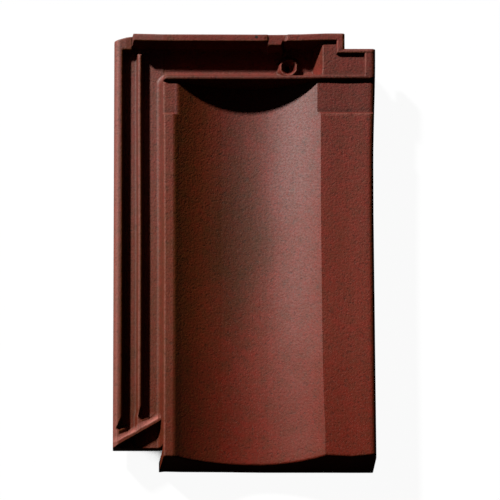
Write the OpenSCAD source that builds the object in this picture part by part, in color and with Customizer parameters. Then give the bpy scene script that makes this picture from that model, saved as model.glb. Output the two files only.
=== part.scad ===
// Interlocking clay roof tile with one wide pan, pressed and fired in one piece.
// It lies on its front apron and its two hanging nibs, as on a level floor.
// X runs across the slope, +Y points up the slope to the head, +Z is up.
// Sizes are in millimetres. The origin is under the middle of the tile.

/* [Tile] */
// Length from the apron's lower edge to the head rim
tile_l = 448; // [430:1:470]
// Width that one tile covers, from one side lock to the next
cover_w = 220; // [214:1:226]
// Gap that stays between the visible edges of two tiles
joint_gap = 4.6; // [3:0.1:6]
// Height of the lands above the surface that the tile lies on
land_z = 43; // [41:0.5:48]
// Thickness of the clay under the pan and the lock floors
clay_t = 12; // [10:0.5:13]

/* [Pan] */
// Width of the pan between the two lands
pan_w = 150; // [144:1:154]
// Depth of the pan below the lands
pan_depth = 23; // [20:0.5:25]
// Width of the left land
left_land_w = 12.3; // [10:0.1:16]
// Rounding of the lands' outer edges
land_round = 2.5; // [1:0.1:3]

/* [Side lock] */
// Depth of the lock channels below the lands
lock_depth = 19.5; // [18:0.5:21]
// Height of the lock ribs above their floor
rib_h = 9.5; // [8:0.5:10.5]
// Width of the outer rib at its top
outer_rib_w = 7.6; // [6:0.1:9]
// Width of the inner rib at its top
inner_rib_w = 3.8; // [3.4:0.1:5]
// Floor width of the outer channel
outer_channel_w = 13.1; // [12:0.1:15]
// Floor width of the inner channel
inner_channel_w = 15.8; // [14:0.1:17]
// Draft of the lock's ribs and walls, in degrees
lock_draft = 11; // [8:0.5:12]
// Rounding at the feet of ribs and walls
foot_round = 2.6; // [1:0.1:3]
// Rounding of the ribs' and rims' upper edges
top_round = 1.7; // [1:0.1:1.7]
// Distance that the side lock stays back from the apron's lower edge
lock_setback = 20; // [16:1:26]
// Top width of the slanting rib that ends the channels
stop_rib_w = 4.6; // [3.6:0.1:6]
// Angle of the slanting rib to the tile's width, in degrees
stop_rib_angle = 32; // [26:1:38]
// Distance of the slanting rib's lower end from the lock's end
stop_rib_y = 5.4; // [4:0.1:8]
// Length over which the two ribs narrow towards the slanting rib
clear_l = 9; // [6:0.5:12]
// How much the outer rib narrows there
outer_clear_w = 4.4; // [3:0.1:4.8]
// How much the inner rib narrows there
inner_clear_w = 2.2; // [1:0.1:2.4]
// Length of the webs in the channels' lower corners, along the ribs
web_l = 12; // [9:0.5:14]
// Width of those webs
web_w = 8.6; // [6:0.1:9.6]

/* [Cover lock] */
// Thickness of the right land, which covers the next tile's side lock
cover_t = 9; // [8:0.1:9.4]
// Height of the two cover ribs below the right land's top
cover_rib_h = 17; // [13:0.5:18]
// Width of the inner cover rib at its foot
cover_rib_w = 6; // [4:0.1:7]
// Width of the edge cover rib at its foot
edge_rib_w = 7.5; // [6:0.1:8.5]

/* [Head lock] */
// Height of the head rim above the lands
rim_h = 1.5; // [1:0.1:2.5]
// Thickness of the head rim
rim_t = 7.6; // [6:0.1:9]
// Width of the lug that thickens the rim
lug_w = 21; // [14:0.5:28]
// Thickness that the lug adds to the rim
lug_t = 4; // [2:0.1:6]
// Distance of the lug's near end from the pan's middle, to the right
lug_side = 18.5; // [10:0.5:22]
// Height of the dam across the pan above the lands
dam_h = 1.2; // [0.5:0.1:1.5]
// Thickness of the dam at its top
dam_t = 5.4; // [4.6:0.1:8]
// Width of the head channel at its top, from the dam to the rim
head_channel_w = 35; // [28:0.2:38]
// Length of the lowered lands in front of the dam
recess_l = 36; // [28:1:44]
// Depth of the lowered lands
recess_drop = 2.4; // [1:0.1:3]
// Length of the raised block that ends the outer channel at the head
corner_block_l = 14; // [9:0.5:16]
// Distance of the inner rib's upper end from the head rim
inner_rib_gap = 11; // [6:0.5:14]

/* [Head corner] */
// Width of the corner cut-out for the next tile's rim
cutout_w = 31; // [28:0.5:33]
// Length of the corner cut-out
cutout_l = 16; // [12:0.5:18]
// Width of the rims beside the corner
corner_rim_w = 8.2; // [5:0.1:10]
// Width of the rim along the right edge of the head
edge_rim_w = 10.4; // [6:0.1:12]
// Width of the shelf below the corner cut-out
shelf_w = 5.2; // [4.6:0.1:8]
// Depth of the corner's plateau below the lands
plateau_drop = 2; // [0.5:0.1:2.5]
// Width of the slope that ends the head channel
head_slope_w = 10.3; // [8:0.1:14]

/* [Nail hole] */
// Diameter of the nail hole
nail_d = 6; // [5:0.1:7]
// Diameter of the cup around the nail hole
nail_cup_d = 10; // [8:0.1:12]
// Width of the raised ring's crest around the cup
nail_crest_w = 5; // [3:0.1:5.2]
// Diameter of the raised ring at its foot
nail_ring_d = 22; // [18:0.5:24]
// Height of the ring above the channel's floor
nail_ring_h = 5; // [3:0.5:7]
// Distance of the nail hole from the pan's middle, to the right
nail_side = 39; // [30:1:46]

/* [Front apron] */
// Thickness of the apron at its lower edge
apron_t = 12; // [10:0.5:16]
// Lean of the apron's front face, in degrees
apron_draft = 8.4; // [5:0.2:10]
// Lean of the apron's two ends, in degrees
end_draft = 4.6; // [3:0.2:5]

/* [Hanging nibs] */
// Width of each nib
nib_w = 42; // [34:1:50]
// Thickness of each nib at its root
nib_t = 18; // [14:0.5:20]
// Distance between the middles of the two nibs
nib_pitch = 96; // [80:1:110]
// Distance of the nibs' hooking faces from the head
nib_setback = 22; // [20:0.5:24]

/* [Hidden] */

// Steps of each rounded corner
round_steps = 4;
// Overlap of features that grow out of each other
bite = 4;
// Overlap of thin features with the clay that carries them
lap = 1;
// Reach of a cut past the clay
past = 20;
$fn = 96;

// Room between the cover ribs' lower ends and the next tile's slanting rib
cover_rib_gap = 4;
// Lean and rounding of the outer rib's face
outer_lean = 0.8;
outer_round = 3;
// Rounding of the dam's upper edges
dam_round = 2.4;
// How much lower the lug is than the rim
lug_drop = 1.5;
// Narrowing of the nibs from root to foot
nib_taper = 4;
// Width and length of the slanting cut at the head's left corner
corner_cut_w = 16;
corner_cut_l = 4.5;

// Heights of the surfaces
floor_z = land_z - lock_depth;
lock_under_z = floor_z - clay_t;
rib_z = floor_z + rib_h;
pan_z = land_z - pan_depth;
recess_z = land_z - recess_drop;
plateau_z = land_z - plateau_drop;
dam_z = land_z + dam_h;
rim_z = land_z + rim_h;
cover_under_z = land_z - cover_t;
cover_rib_z = land_z - cover_rib_h;

// Places across the tile, from the outer rib's face
lock_lean = tan(lock_draft);
rib_run = rib_h * lock_lean;
outer_foot = outer_rib_w + rib_run;
inner_foot = outer_foot + outer_channel_w;
inner_rib_x = inner_foot + rib_run;
inner_back_foot = inner_rib_x + inner_rib_w + rib_run;
wall_foot = inner_back_foot + inner_channel_w;
wall_top = wall_foot + lock_depth * lock_lean;
pan_left = wall_top + left_land_w;
pan_right = pan_left + pan_w;
pan_x = pan_left + pan_w / 2;
tile_w = cover_w + wall_top - joint_gap;
corner_x = tile_w - cutout_w;
slope_foot = pan_right - head_slope_w;

// The pan is an arc through both lands' edges
pan_r = (pow(pan_w / 2, 2) + pow(pan_depth, 2)) / (2 * pan_depth);
pan_axis_z = pan_z + pan_r;
shell_r = pan_r + clay_t;

// Places along the tile, from the apron's lower edge
rim_front = tile_l - rim_t;
dam_back = rim_front - head_channel_w;
dam_front = dam_back - dam_t;
recess_start = dam_front - recess_l;
corner_back = tile_l - cutout_l;
apron_run = land_z * tan(apron_draft);
body_start = apron_run + land_round;
nail_x = pan_x + nail_side;
nail_y = dam_back + nail_ring_d / 2;
stop_x = outer_lean + lap;
stop_y = lock_setback + stop_rib_y;
cover_rib_y = stop_line(wall_foot) + stop_rib_w + cover_rib_gap;

// The leaning end faces: places of the apron's left end and the tile's right edge at a height
function left_x(z) = wall_top - (land_z - z) * tan(end_draft);
function right_x(z) = tile_w + edge_inset(land_round, end_draft) - (land_z - z) * tan(end_draft);

// Place along the tile of the slanting rib's middle, at a place across it
function stop_line(x) = stop_y + (x - stop_x) * tan(stop_rib_angle);

// Height of the pan's underside at a place across the tile
function shell_z(x) = pan_axis_z - sqrt(pow(shell_r, 2) - pow(x - pan_x, 2));

// A vector turned by an angle
function turned(v, angle) = [
    v.x * cos(angle) - v.y * sin(angle),
    v.x * sin(angle) + v.y * cos(angle)
];

// The points that round corner b, between its neighbours a and c, with radius r
function rounded_corner(a, b, c, r) =
    let (
        u = (a - b) / norm(a - b),
        v = (c - b) / norm(c - b),
        half = acos(u * v) / 2,
        start = b + u * r / tan(half),
        centre = b + (u + v) / norm(u + v) * r / sin(half),
        way = cross(b - a, c - b) > 0 ? 1 : -1
    )
    [for (i = [0:round_steps]) centre + turned(start - centre, way * (180 - 2 * half) * i / round_steps)];

// An outline of [x, y] points and [x, y, radius] corners
function rounded(points) =
    let (count = len(points))
    [
        for (i = [0:count - 1])
            let (a = points[(i + count - 1) % count], b = points[i], c = points[(i + 1) % count])
            each len(b) == 2
                ? [b]
                : rounded_corner([a.x, a.y], [b.x, b.y], [c.x, c.y], b.z)
    ];

// How far the rounding of a leaning edge stays behind its sharp corner
function edge_inset(r, lean) = r * ((1 + sin(lean)) / cos(lean) - 1);

// Carries an X-Z profile along the tile
module along(y0, y1) {
    translate([0, y1, 0]) rotate([90, 0, 0]) linear_extrude(y1 - y0) children();
}

// Carries a Y-Z profile across the tile
module across(x0, x1) {
    translate([x0, 0, 0]) rotate([90, 0, 90]) linear_extrude(x1 - x0) children();
}

// Raises a plan outline from one height to another
module raised(z0, z1) {
    translate([0, 0, z0]) linear_extrude(z1 - z0) children();
}

module pan_circle(r) {
    translate([pan_x, pan_axis_z]) circle(r);
}

// A rib on the lock floor with filleted feet, from one top corner to the other
module rib_profile(left, right) {
    polygon(rounded([
        [left - rib_run - foot_round, floor_z - bite],
        [left - rib_run - foot_round, floor_z],
        [left - rib_run, floor_z, foot_round],
        [left, rib_z, top_round],
        [right, rib_z, top_round],
        [right + rib_run, floor_z, foot_round],
        [right + rib_run + foot_round, floor_z],
        [right + rib_run + foot_round, floor_z - bite]
    ]));
}

// The wall beside the lock and the left land on top of it
module left_land_profile() {
    root_x = pan_left + bite;
    polygon(rounded([
        [wall_foot - foot_round, lock_under_z],
        [wall_foot - foot_round, floor_z],
        [wall_foot, floor_z, foot_round],
        [wall_top, land_z, land_round],
        [root_x, land_z],
        [root_x, shell_z(root_x) + bite],
        [wall_foot + clay_t, lock_under_z]
    ]));
}

// The right land, which lies over the next tile's side lock
module cover_profile() {
    polygon(rounded([
        [pan_right - bite, land_z],
        [right_x(land_z), land_z, land_round],
        [right_x(cover_under_z), cover_under_z, top_round],
        [cover_w, cover_under_z],
        [pan_right, shell_z(pan_right) + lap],
        [pan_right - bite, shell_z(pan_right - bite) + bite]
    ]));
}

// The two ribs under the right land that drop into the next tile's channels
module cover_ribs_profile() {
    flare = (cover_under_z - cover_rib_z) * lock_lean;
    rib_x = cover_w + (outer_foot + inner_foot) / 2;
    edge_x = right_x(cover_rib_z);
    polygon(rounded([
        [rib_x - cover_rib_w / 2 - flare, cover_under_z + lap],
        [rib_x - cover_rib_w / 2 - flare, cover_under_z],
        [rib_x - cover_rib_w / 2, cover_rib_z, top_round],
        [rib_x + cover_rib_w / 2, cover_rib_z, top_round],
        [rib_x + cover_rib_w / 2 + flare, cover_under_z, top_round],
        [edge_x - edge_rib_w - flare, cover_under_z, top_round],
        [edge_x - edge_rib_w, cover_rib_z, top_round],
        [edge_x, cover_rib_z, top_round],
        [right_x(plateau_z - land_round), plateau_z - land_round]
    ]));
}

// Pan with the left land
module pan_body() {
    difference() {
        along(body_start, dam_back) difference() {
            union() {
                intersection() {
                    pan_circle(shell_r);
                    translate([pan_left - bite / 2, 0]) square([pan_w + bite, land_z - bite]);
                }
                left_land_profile();
            }
            pan_circle(pan_r);
        }
        along(-past, lock_setback) polygon([
            [-past, -past],
            [left_x(-past), -past],
            [left_x(land_z), land_z],
            [-past, land_z]
        ]);
        recess_cut();
    }
}

// Right land, which runs on below the head corner's plateau
module cover_lock() {
    difference() {
        along(body_start, dam_back) difference() {
            cover_profile();
            pan_circle(pan_r);
        }
        recess_cut();
    }
    along(dam_back, corner_back) intersection() {
        cover_profile();
        translate([pan_right, 0]) square([tile_w, plateau_z]);
    }
    along(cover_rib_y, corner_back) cover_ribs_profile();
}

// Lowered lands in front of the dam, reached by a short ramp
module recess_cut() {
    across(0, tile_w + past) polygon([
        [recess_start, land_z],
        [recess_start + recess_drop, recess_z],
        [dam_back + past, recess_z],
        [dam_back + past, land_z + past],
        [recess_start, land_z + past]
    ]);
}

// Face of the outer rib, as an X-Z profile that reaches in to a place across the tile
module outer_face_profile(reach) {
    polygon(rounded([
        [0, floor_z - bite],
        [0, floor_z],
        [outer_lean, rib_z, outer_round],
        [reach, rib_z],
        [reach, floor_z - bite]
    ]));
}

// Room beside a rib's right edge, where the rib narrows towards the slanting rib
module clear_cut(edge_x, clear_w) {
    narrow_x = edge_x - clear_w;
    narrow_y = stop_line(narrow_x) + web_l;
    far_x = edge_x + rib_run + foot_round + lap;
    raised(floor_z, rib_z + past) polygon([
        [narrow_x, lock_setback - past],
        [narrow_x, narrow_y],
        [far_x, narrow_y + clear_l * (far_x - narrow_x) / clear_w],
        [far_x, lock_setback - past]
    ]);
}

// Web that fills the corner between a narrowed rib's edge and the slanting rib
module lock_web(edge_x) {
    raised(floor_z - bite, rib_z) polygon([
        [edge_x - lap, stop_line(edge_x - lap)],
        [edge_x - lap, stop_line(edge_x) + web_l],
        [edge_x + web_w, stop_line(edge_x + web_w)]
    ]);
}

// The channels' floor with its two ribs, closed below by a slanting rib and above by a block
module side_lock() {
    stop_l = (wall_top - stop_x) / cos(stop_rib_angle);
    inner_edge = inner_rib_x + inner_rib_w;
    inner_mid = inner_edge - inner_rib_w / 2;
    block_y = tile_l - corner_block_l;
    difference() {
        union() {
            along(lock_setback, tile_l) polygon(rounded([
                [0, lock_under_z, top_round],
                [0, floor_z],
                [wall_foot + bite, floor_z],
                [wall_foot + bite, lock_under_z]
            ]));
            intersection() {
                along(lock_setback, tile_l) outer_face_profile(wall_top);
                union() {
                    difference() {
                        along(lock_setback, tile_l) rib_profile(outer_lean - outer_rib_w, outer_rib_w);
                        clear_cut(outer_rib_w, outer_clear_w);
                    }
                    lock_web(outer_rib_w - outer_clear_w);
                    translate([stop_x, stop_y, 0]) rotate([0, 0, stop_rib_angle - 90])
                        along(0, stop_l) rib_profile(-stop_rib_w / 2, stop_rib_w / 2);
                }
            }
            difference() {
                along(stop_line(inner_mid), rim_front - inner_rib_gap) rib_profile(inner_rib_x, inner_edge);
                clear_cut(inner_edge, inner_clear_w);
            }
            lock_web(inner_edge - inner_clear_w);
            intersection() {
                along(block_y - past, tile_l) outer_face_profile(inner_foot - bite);
                across(0, inner_foot) polygon(rounded([
                    [block_y - rib_run, floor_z - bite],
                    [block_y - rib_run, floor_z],
                    [block_y, rib_z, top_round],
                    [tile_l, rib_z, top_round],
                    [tile_l, floor_z - bite]
                ]));
            }
        }
        raised(-past, rib_z + past) polygon([
            [-past, tile_l - corner_cut_l * (1 + past / corner_cut_w)],
            [corner_cut_w, tile_l],
            [corner_cut_w, tile_l + past],
            [-past, tile_l + past]
        ]);
        across(-past, wall_foot + past) polygon([
            [lock_setback - past, lock_under_z],
            [lock_setback, lock_under_z],
            [lock_setback + (rib_z + lap - lock_under_z) * lock_lean, rib_z + lap],
            [lock_setback - past, rib_z + lap]
        ]);
    }
}

// Rim at the head, as a Y-Z profile that stands on a given height
module rim_profile(foot_z, under_z) {
    rim_fall = (rim_z - foot_z) * lock_lean;
    polygon(rounded([
        [dam_front, under_z],
        [dam_front, foot_z],
        [rim_front - rim_fall, foot_z, min(foot_round, rim_fall)],
        [rim_front, rim_z, top_round],
        [tile_l, rim_z, top_round],
        [tile_l, under_z, top_round]
    ]));
}

// Floor of the head channel with the rim behind it and the dam in front of it
module head_lock() {
    dam_fall = (dam_z - floor_z) * lock_lean;
    lug_x = pan_x + lug_side;
    lug_z = rim_z - lug_drop;
    lug_fall = (lug_z - floor_z) * lock_lean;
    intersection() {
        across(0, slope_foot + bite) rim_profile(floor_z, lock_under_z);
        along(dam_front - past, tile_l + past) polygon([
            [inner_foot - bite, 0],
            [inner_foot - bite, floor_z],
            [inner_foot, rim_z + past],
            [tile_w, rim_z + past],
            [tile_w, 0]
        ]);
    }
    across(lug_x, lug_x + lug_w) polygon(rounded([
        [rim_front + top_round, floor_z - bite],
        [rim_front - lug_t - lug_fall, floor_z - bite],
        [rim_front - lug_t - lug_fall, floor_z],
        [rim_front - lug_t, lug_z, top_round],
        [rim_front + top_round, lug_z]
    ]));
    intersection() {
        across(0, tile_w + past) polygon(rounded([
            [dam_front - dam_fall, lock_under_z],
            [dam_front - dam_fall, floor_z],
            [dam_front, dam_z, dam_round],
            [dam_back, dam_z, dam_round],
            [dam_back + dam_fall, floor_z, foot_round],
            [dam_back + dam_fall + foot_round, floor_z],
            [dam_back + dam_fall + foot_round, lock_under_z]
        ]));
        along(0, tile_l) polygon(rounded([
            [wall_foot, lock_under_z],
            [wall_foot, floor_z],
            [wall_top + dam_h * lock_lean, dam_z, dam_round],
            [right_x(dam_z), dam_z, land_round],
            [right_x(cover_under_z + lap), cover_under_z + lap],
            [cover_w, cover_under_z + lap],
            [pan_right, lock_under_z]
        ]));
    }
}

// Corner at the right of the head: slope, plateau and the rims around the cut-out
module head_corner() {
    shelf_y = corner_back - shelf_w;
    leg_x = corner_x - corner_rim_w;
    edge_x = tile_w - edge_rim_w;
    along(dam_front, rim_front + top_round) polygon(rounded([
        [slope_foot - bite, lock_under_z],
        [slope_foot - bite, floor_z],
        [slope_foot, floor_z],
        [pan_right, plateau_z, top_round],
        [corner_x, plateau_z],
        [corner_x, cover_under_z],
        [cover_w, cover_under_z],
        [pan_right, lock_under_z]
    ]));
    intersection() {
        across(slope_foot, corner_x) rim_profile(plateau_z, cover_under_z);
        along(rim_front - past, tile_l) polygon(rounded([
            [slope_foot, cover_under_z],
            [slope_foot, rim_z],
            [corner_x, rim_z, top_round],
            [corner_x, cover_under_z]
        ]));
    }
    along(shelf_y, rim_front + top_round) polygon(rounded([
        [leg_x, cover_under_z],
        [leg_x, rim_z, top_round],
        [corner_x, rim_z, top_round],
        [corner_x, cover_under_z]
    ]));
    intersection() {
        across(leg_x, tile_w + past) polygon(rounded([
            [shelf_y, cover_under_z],
            [shelf_y, rim_z, top_round],
            [corner_back, rim_z, top_round],
            [corner_back, cover_under_z]
        ]));
        along(0, tile_l) edge_rim_profile(leg_x, rim_z);
    }
    along(dam_front, corner_back) edge_rim_profile(edge_x, dam_z);
}

// Rim along the right edge, from a place across the tile out to the leaning face
module edge_rim_profile(from_x, top_z) {
    polygon(rounded([
        [from_x, cover_under_z + lap],
        [from_x, top_z, top_round],
        [right_x(top_z), top_z, land_round],
        [right_x(cover_under_z + lap), cover_under_z + lap]
    ]));
}

// Ring around the nail hole
module nail_ring() {
    ring_r = nail_ring_d / 2;
    cup_r = nail_cup_d / 2;
    crest_r = cup_r + nail_crest_w;
    ring_z = floor_z + nail_ring_h;
    translate([nail_x, nail_y, 0]) rotate_extrude() polygon(rounded([
        [cup_r, floor_z - bite],
        [ring_r, floor_z - bite],
        [ring_r, floor_z],
        [crest_r, ring_z, top_round],
        [cup_r, ring_z, top_round]
    ]));
}

// Front wall of the tile, straight below and following the pan above
module apron() {
    front_y = -edge_inset(top_round, apron_draft);
    difference() {
        intersection() {
            across(0, tile_w + past) polygon(rounded([
                [front_y, 0, top_round],
                [front_y + apron_run, land_z, top_round],
                [front_y + apron_run + apron_t + bite, land_z],
                [front_y + apron_t, 0, top_round]
            ]));
            along(-past, past * 2) polygon(rounded([
                [left_x(0), 0, land_round],
                [left_x(land_z), land_z, land_round],
                [right_x(land_z), land_z, land_round],
                [right_x(0), 0, land_round]
            ]));
        }
        along(-past, past * 3) pan_circle(pan_r);
    }
}

// Two nibs that hook behind the batten
module nibs() {
    face_y = tile_l - nib_setback;
    for (side = [-1, 1])
        translate([pan_x + side * nib_pitch / 2, 0, 0])
            across(-nib_w / 2, nib_w / 2) polygon(rounded([
                [face_y, lock_under_z + bite],
                [face_y, 0, top_round],
                [face_y + nib_t - nib_taper, 0, top_round],
                [face_y + nib_t, lock_under_z + bite]
            ]));
}

module roof_tile() {
    color([0.42, 0.22, 0.18]) translate([-tile_w / 2, -tile_l / 2, 0]) difference() {
        union() {
            pan_body();
            cover_lock();
            side_lock();
            head_lock();
            head_corner();
            nail_ring();
            apron();
            nibs();
        }
        translate([nail_x, nail_y, 0]) cylinder(d = nail_d, h = floor_z + past);
    }
}

roof_tile();
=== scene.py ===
"""An interlocking clay roof tile with one wide pan, pressed and fired in one piece.

The tile is one closed surface worked out with numpy: a height over the plan for its upper face,
another for its underside, and walls between the two along the outline. It stands for the CAD
solid, in the same frame. Sizes are in millimetres until the mesh is made, with X from the outer
rib's face and Y from the apron's lower edge.
"""

from __future__ import annotations

import logging
import math
from dataclasses import dataclass
from enum import Enum
from typing import NamedTuple

import bpy
import numpy as np
import numpy.typing as npt
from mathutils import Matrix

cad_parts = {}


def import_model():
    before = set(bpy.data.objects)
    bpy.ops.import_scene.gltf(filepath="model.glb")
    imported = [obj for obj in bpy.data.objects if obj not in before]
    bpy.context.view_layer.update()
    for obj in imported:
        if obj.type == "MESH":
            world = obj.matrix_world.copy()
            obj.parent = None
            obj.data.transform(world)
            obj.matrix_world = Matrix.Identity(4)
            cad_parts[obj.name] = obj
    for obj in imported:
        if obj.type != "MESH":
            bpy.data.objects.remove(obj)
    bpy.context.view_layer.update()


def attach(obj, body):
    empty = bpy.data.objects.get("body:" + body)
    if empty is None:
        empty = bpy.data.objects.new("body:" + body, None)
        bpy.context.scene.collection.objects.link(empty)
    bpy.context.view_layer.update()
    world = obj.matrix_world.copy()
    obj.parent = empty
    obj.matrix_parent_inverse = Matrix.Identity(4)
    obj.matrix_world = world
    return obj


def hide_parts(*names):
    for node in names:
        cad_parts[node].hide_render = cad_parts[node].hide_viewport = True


Array = npt.NDArray[np.float64]
Colour = tuple[float, float, float, float]
Vector3 = tuple[float, float, float]
Socket = bpy.types.NodeSocket
Feed = Socket | float | Colour

LOG = logging.getLogger("roof_tile")
MM = 0.001
# Steps of a rounded corner, a height that stands for no form, a way beyond the tile, and a length
# next to nothing. A noise runs to both sides of its middle.
ARC_STEPS = 4
DEEP = -60.0
FAR = 400.0
TINY = 1e-9
NOISE_MIDDLE = 0.5
WHITE: Colour = (1.0, 1.0, 1.0, 1.0)


class Ramp(NamedTuple):
    """A smooth run from a start to an end value while something goes from low to high."""

    low: float
    high: float
    start: float = 0.0
    end: float = 1.0


class Grain(NamedTuple):
    """A noise: its grains a metre, and how many finer layers lie on it."""

    scale: float
    detail: float


class Curve(NamedTuple):
    """Values at a few places, with straight runs between them."""

    places: tuple[float, ...]
    values: tuple[float, ...]

    def at(self, places: Array) -> Array:
        """Values at the given places, level beyond both ends."""
        return np.interp(places, self.places, self.values)


class SlantLine(NamedTuple):
    """A straight line in the plan: a point of it and the angle of its normal to the X axis."""

    x: float
    y: float
    angle: float

    def beyond(self, x: Array, y: Array) -> Array:
        """Distance of places beyond the line, along its normal."""
        return (x - self.x) * math.cos(self.angle) + (y - self.y) * math.sin(self.angle)


class Corner(NamedTuple):
    """One corner of a profile: its place, its height and the radius that rounds it."""

    place: float
    height: float
    radius: float = 0.0


class Side(Enum):
    """The two flanks of a rib or a rim, by the way that they face."""

    LEFT = -1.0
    RIGHT = 1.0


def smooth_min(first: Array | float, second: Array | float, reach: Array | float) -> Array:
    """The lower of two values, with the crossing rounded off.

    Within the reach, the result dips below both by a quarter of the reach times the square of
    how near they are, where 1 is equal and 0 is a whole reach apart.

    Args:
        first: One value.
        second: The other value.
        reach: Difference at which the rounding ends.

    Returns:
        The blended lower value.
    """
    near = np.maximum(reach - np.abs(np.subtract(first, second)), 0.0) / reach
    return np.minimum(first, second) - near * near * reach / 4.0


def smooth_max(first: Array | float, second: Array | float, reach: float) -> Array:
    """The higher of two values, with the crossing filled like a fillet."""
    return -smooth_min(np.negative(first), np.negative(second), reach)


def ease(places: Array, start: float, end: float) -> Array:
    """Rises from 0 at the start to 1 at the end along the curve 3t^2 - 2t^3."""
    t = np.clip((places - start) / (end - start), 0.0, 1.0)
    return t * t * (3.0 - 2.0 * t)


def edge_drop(inside: Array, radius: float) -> Array:
    """How far a quarter-round edge falls below its flat.

    A point lies on the circle of that radius, so the fall is the radius less the height of the
    circle at the point's distance from the circle's middle.

    Args:
        inside: Distance from the edge's outermost line, towards the flat.
        radius: Radius of the rounding.

    Returns:
        The fall, from the radius at the outermost line to nothing one radius further in.
    """
    reach = radius - np.clip(inside, 0.0, radius)
    return radius - np.sqrt(radius * radius - reach * reach)


def edge_lines(radius: float) -> Array:
    """Distances from a rounded edge at which its quarter circle turns by equal angles."""
    angles = np.linspace(0.0, math.pi / 2.0, ARC_STEPS + 1)
    return radius * (1.0 - np.cos(angles))


def corner_arc(before: Corner, corner: Corner, after: Corner) -> Array:
    """The arc that rounds a corner, tangent to both of its sides.

    The arc's middle lies on the corner's bisector. Its points turn about that middle by equal
    angles from one tangent point to the other.

    Args:
        before: The corner before it.
        corner: The corner that is rounded.
        after: The corner after it.

    Returns:
        Points of the arc, one a row, or the corner itself where it has no radius.
    """
    here = np.array(corner[:2])
    if corner.radius == 0.0:
        return here[None, :]
    back = np.array(before[:2]) - here
    ahead = np.array(after[:2]) - here
    back /= np.linalg.norm(back)
    ahead /= np.linalg.norm(ahead)
    half = math.acos(float(np.clip(back @ ahead, -1.0, 1.0))) / 2.0
    bisector = (back + ahead) / np.linalg.norm(back + ahead)
    centre = here + bisector * corner.radius / math.sin(half)
    tangent = corner.radius / math.tan(half)
    turn = math.pi - 2.0 * half
    share = np.linspace(0.0, 1.0, ARC_STEPS + 1)[:, None]
    first = np.sin((1.0 - share) * turn) / math.sin(turn)
    last = np.sin(share * turn) / math.sin(turn)
    return centre + first * (here + back * tangent - centre) + last * (here + ahead * tangent - centre)


@dataclass(frozen=True)
class Profile:
    """A height curve with rounded corners, carried straight across the tile or along it."""

    places: Array
    heights: Array

    @classmethod
    def rounded(cls, *corners: Corner) -> Profile:
        """Joins corners by straight sides and rounds each one by its radius.

        Args:
            corners: The corners in order of place.

        Returns:
            The finished curve.
        """
        rows = [np.array([corners[0][:2]])]
        rows += [corner_arc(*three) for three in zip(corners, corners[1:], corners[2:])]
        rows.append(np.array([corners[-1][:2]]))
        points = np.concatenate(rows)
        return cls(points[:, 0], points[:, 1])

    @classmethod
    def level(cls, *corners: Corner) -> Profile:
        """Joins corners likewise, and runs on level before the first and after the last.

        Args:
            corners: The corners in order of place.

        Returns:
            The finished curve.
        """
        before = Corner(corners[0].place - FAR, corners[0].height)
        after = Corner(corners[-1].place + FAR, corners[-1].height)
        return cls.rounded(before, *corners, after)

    def at(self, places: Array) -> Array:
        """Heights at the given places, straight between the curve's points."""
        return np.interp(places, self.places, self.heights)

    def lines(self) -> Array:
        """Places of the rounded corners, where grid lines of the mesh belong."""
        return self.places[1:-1]


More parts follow.
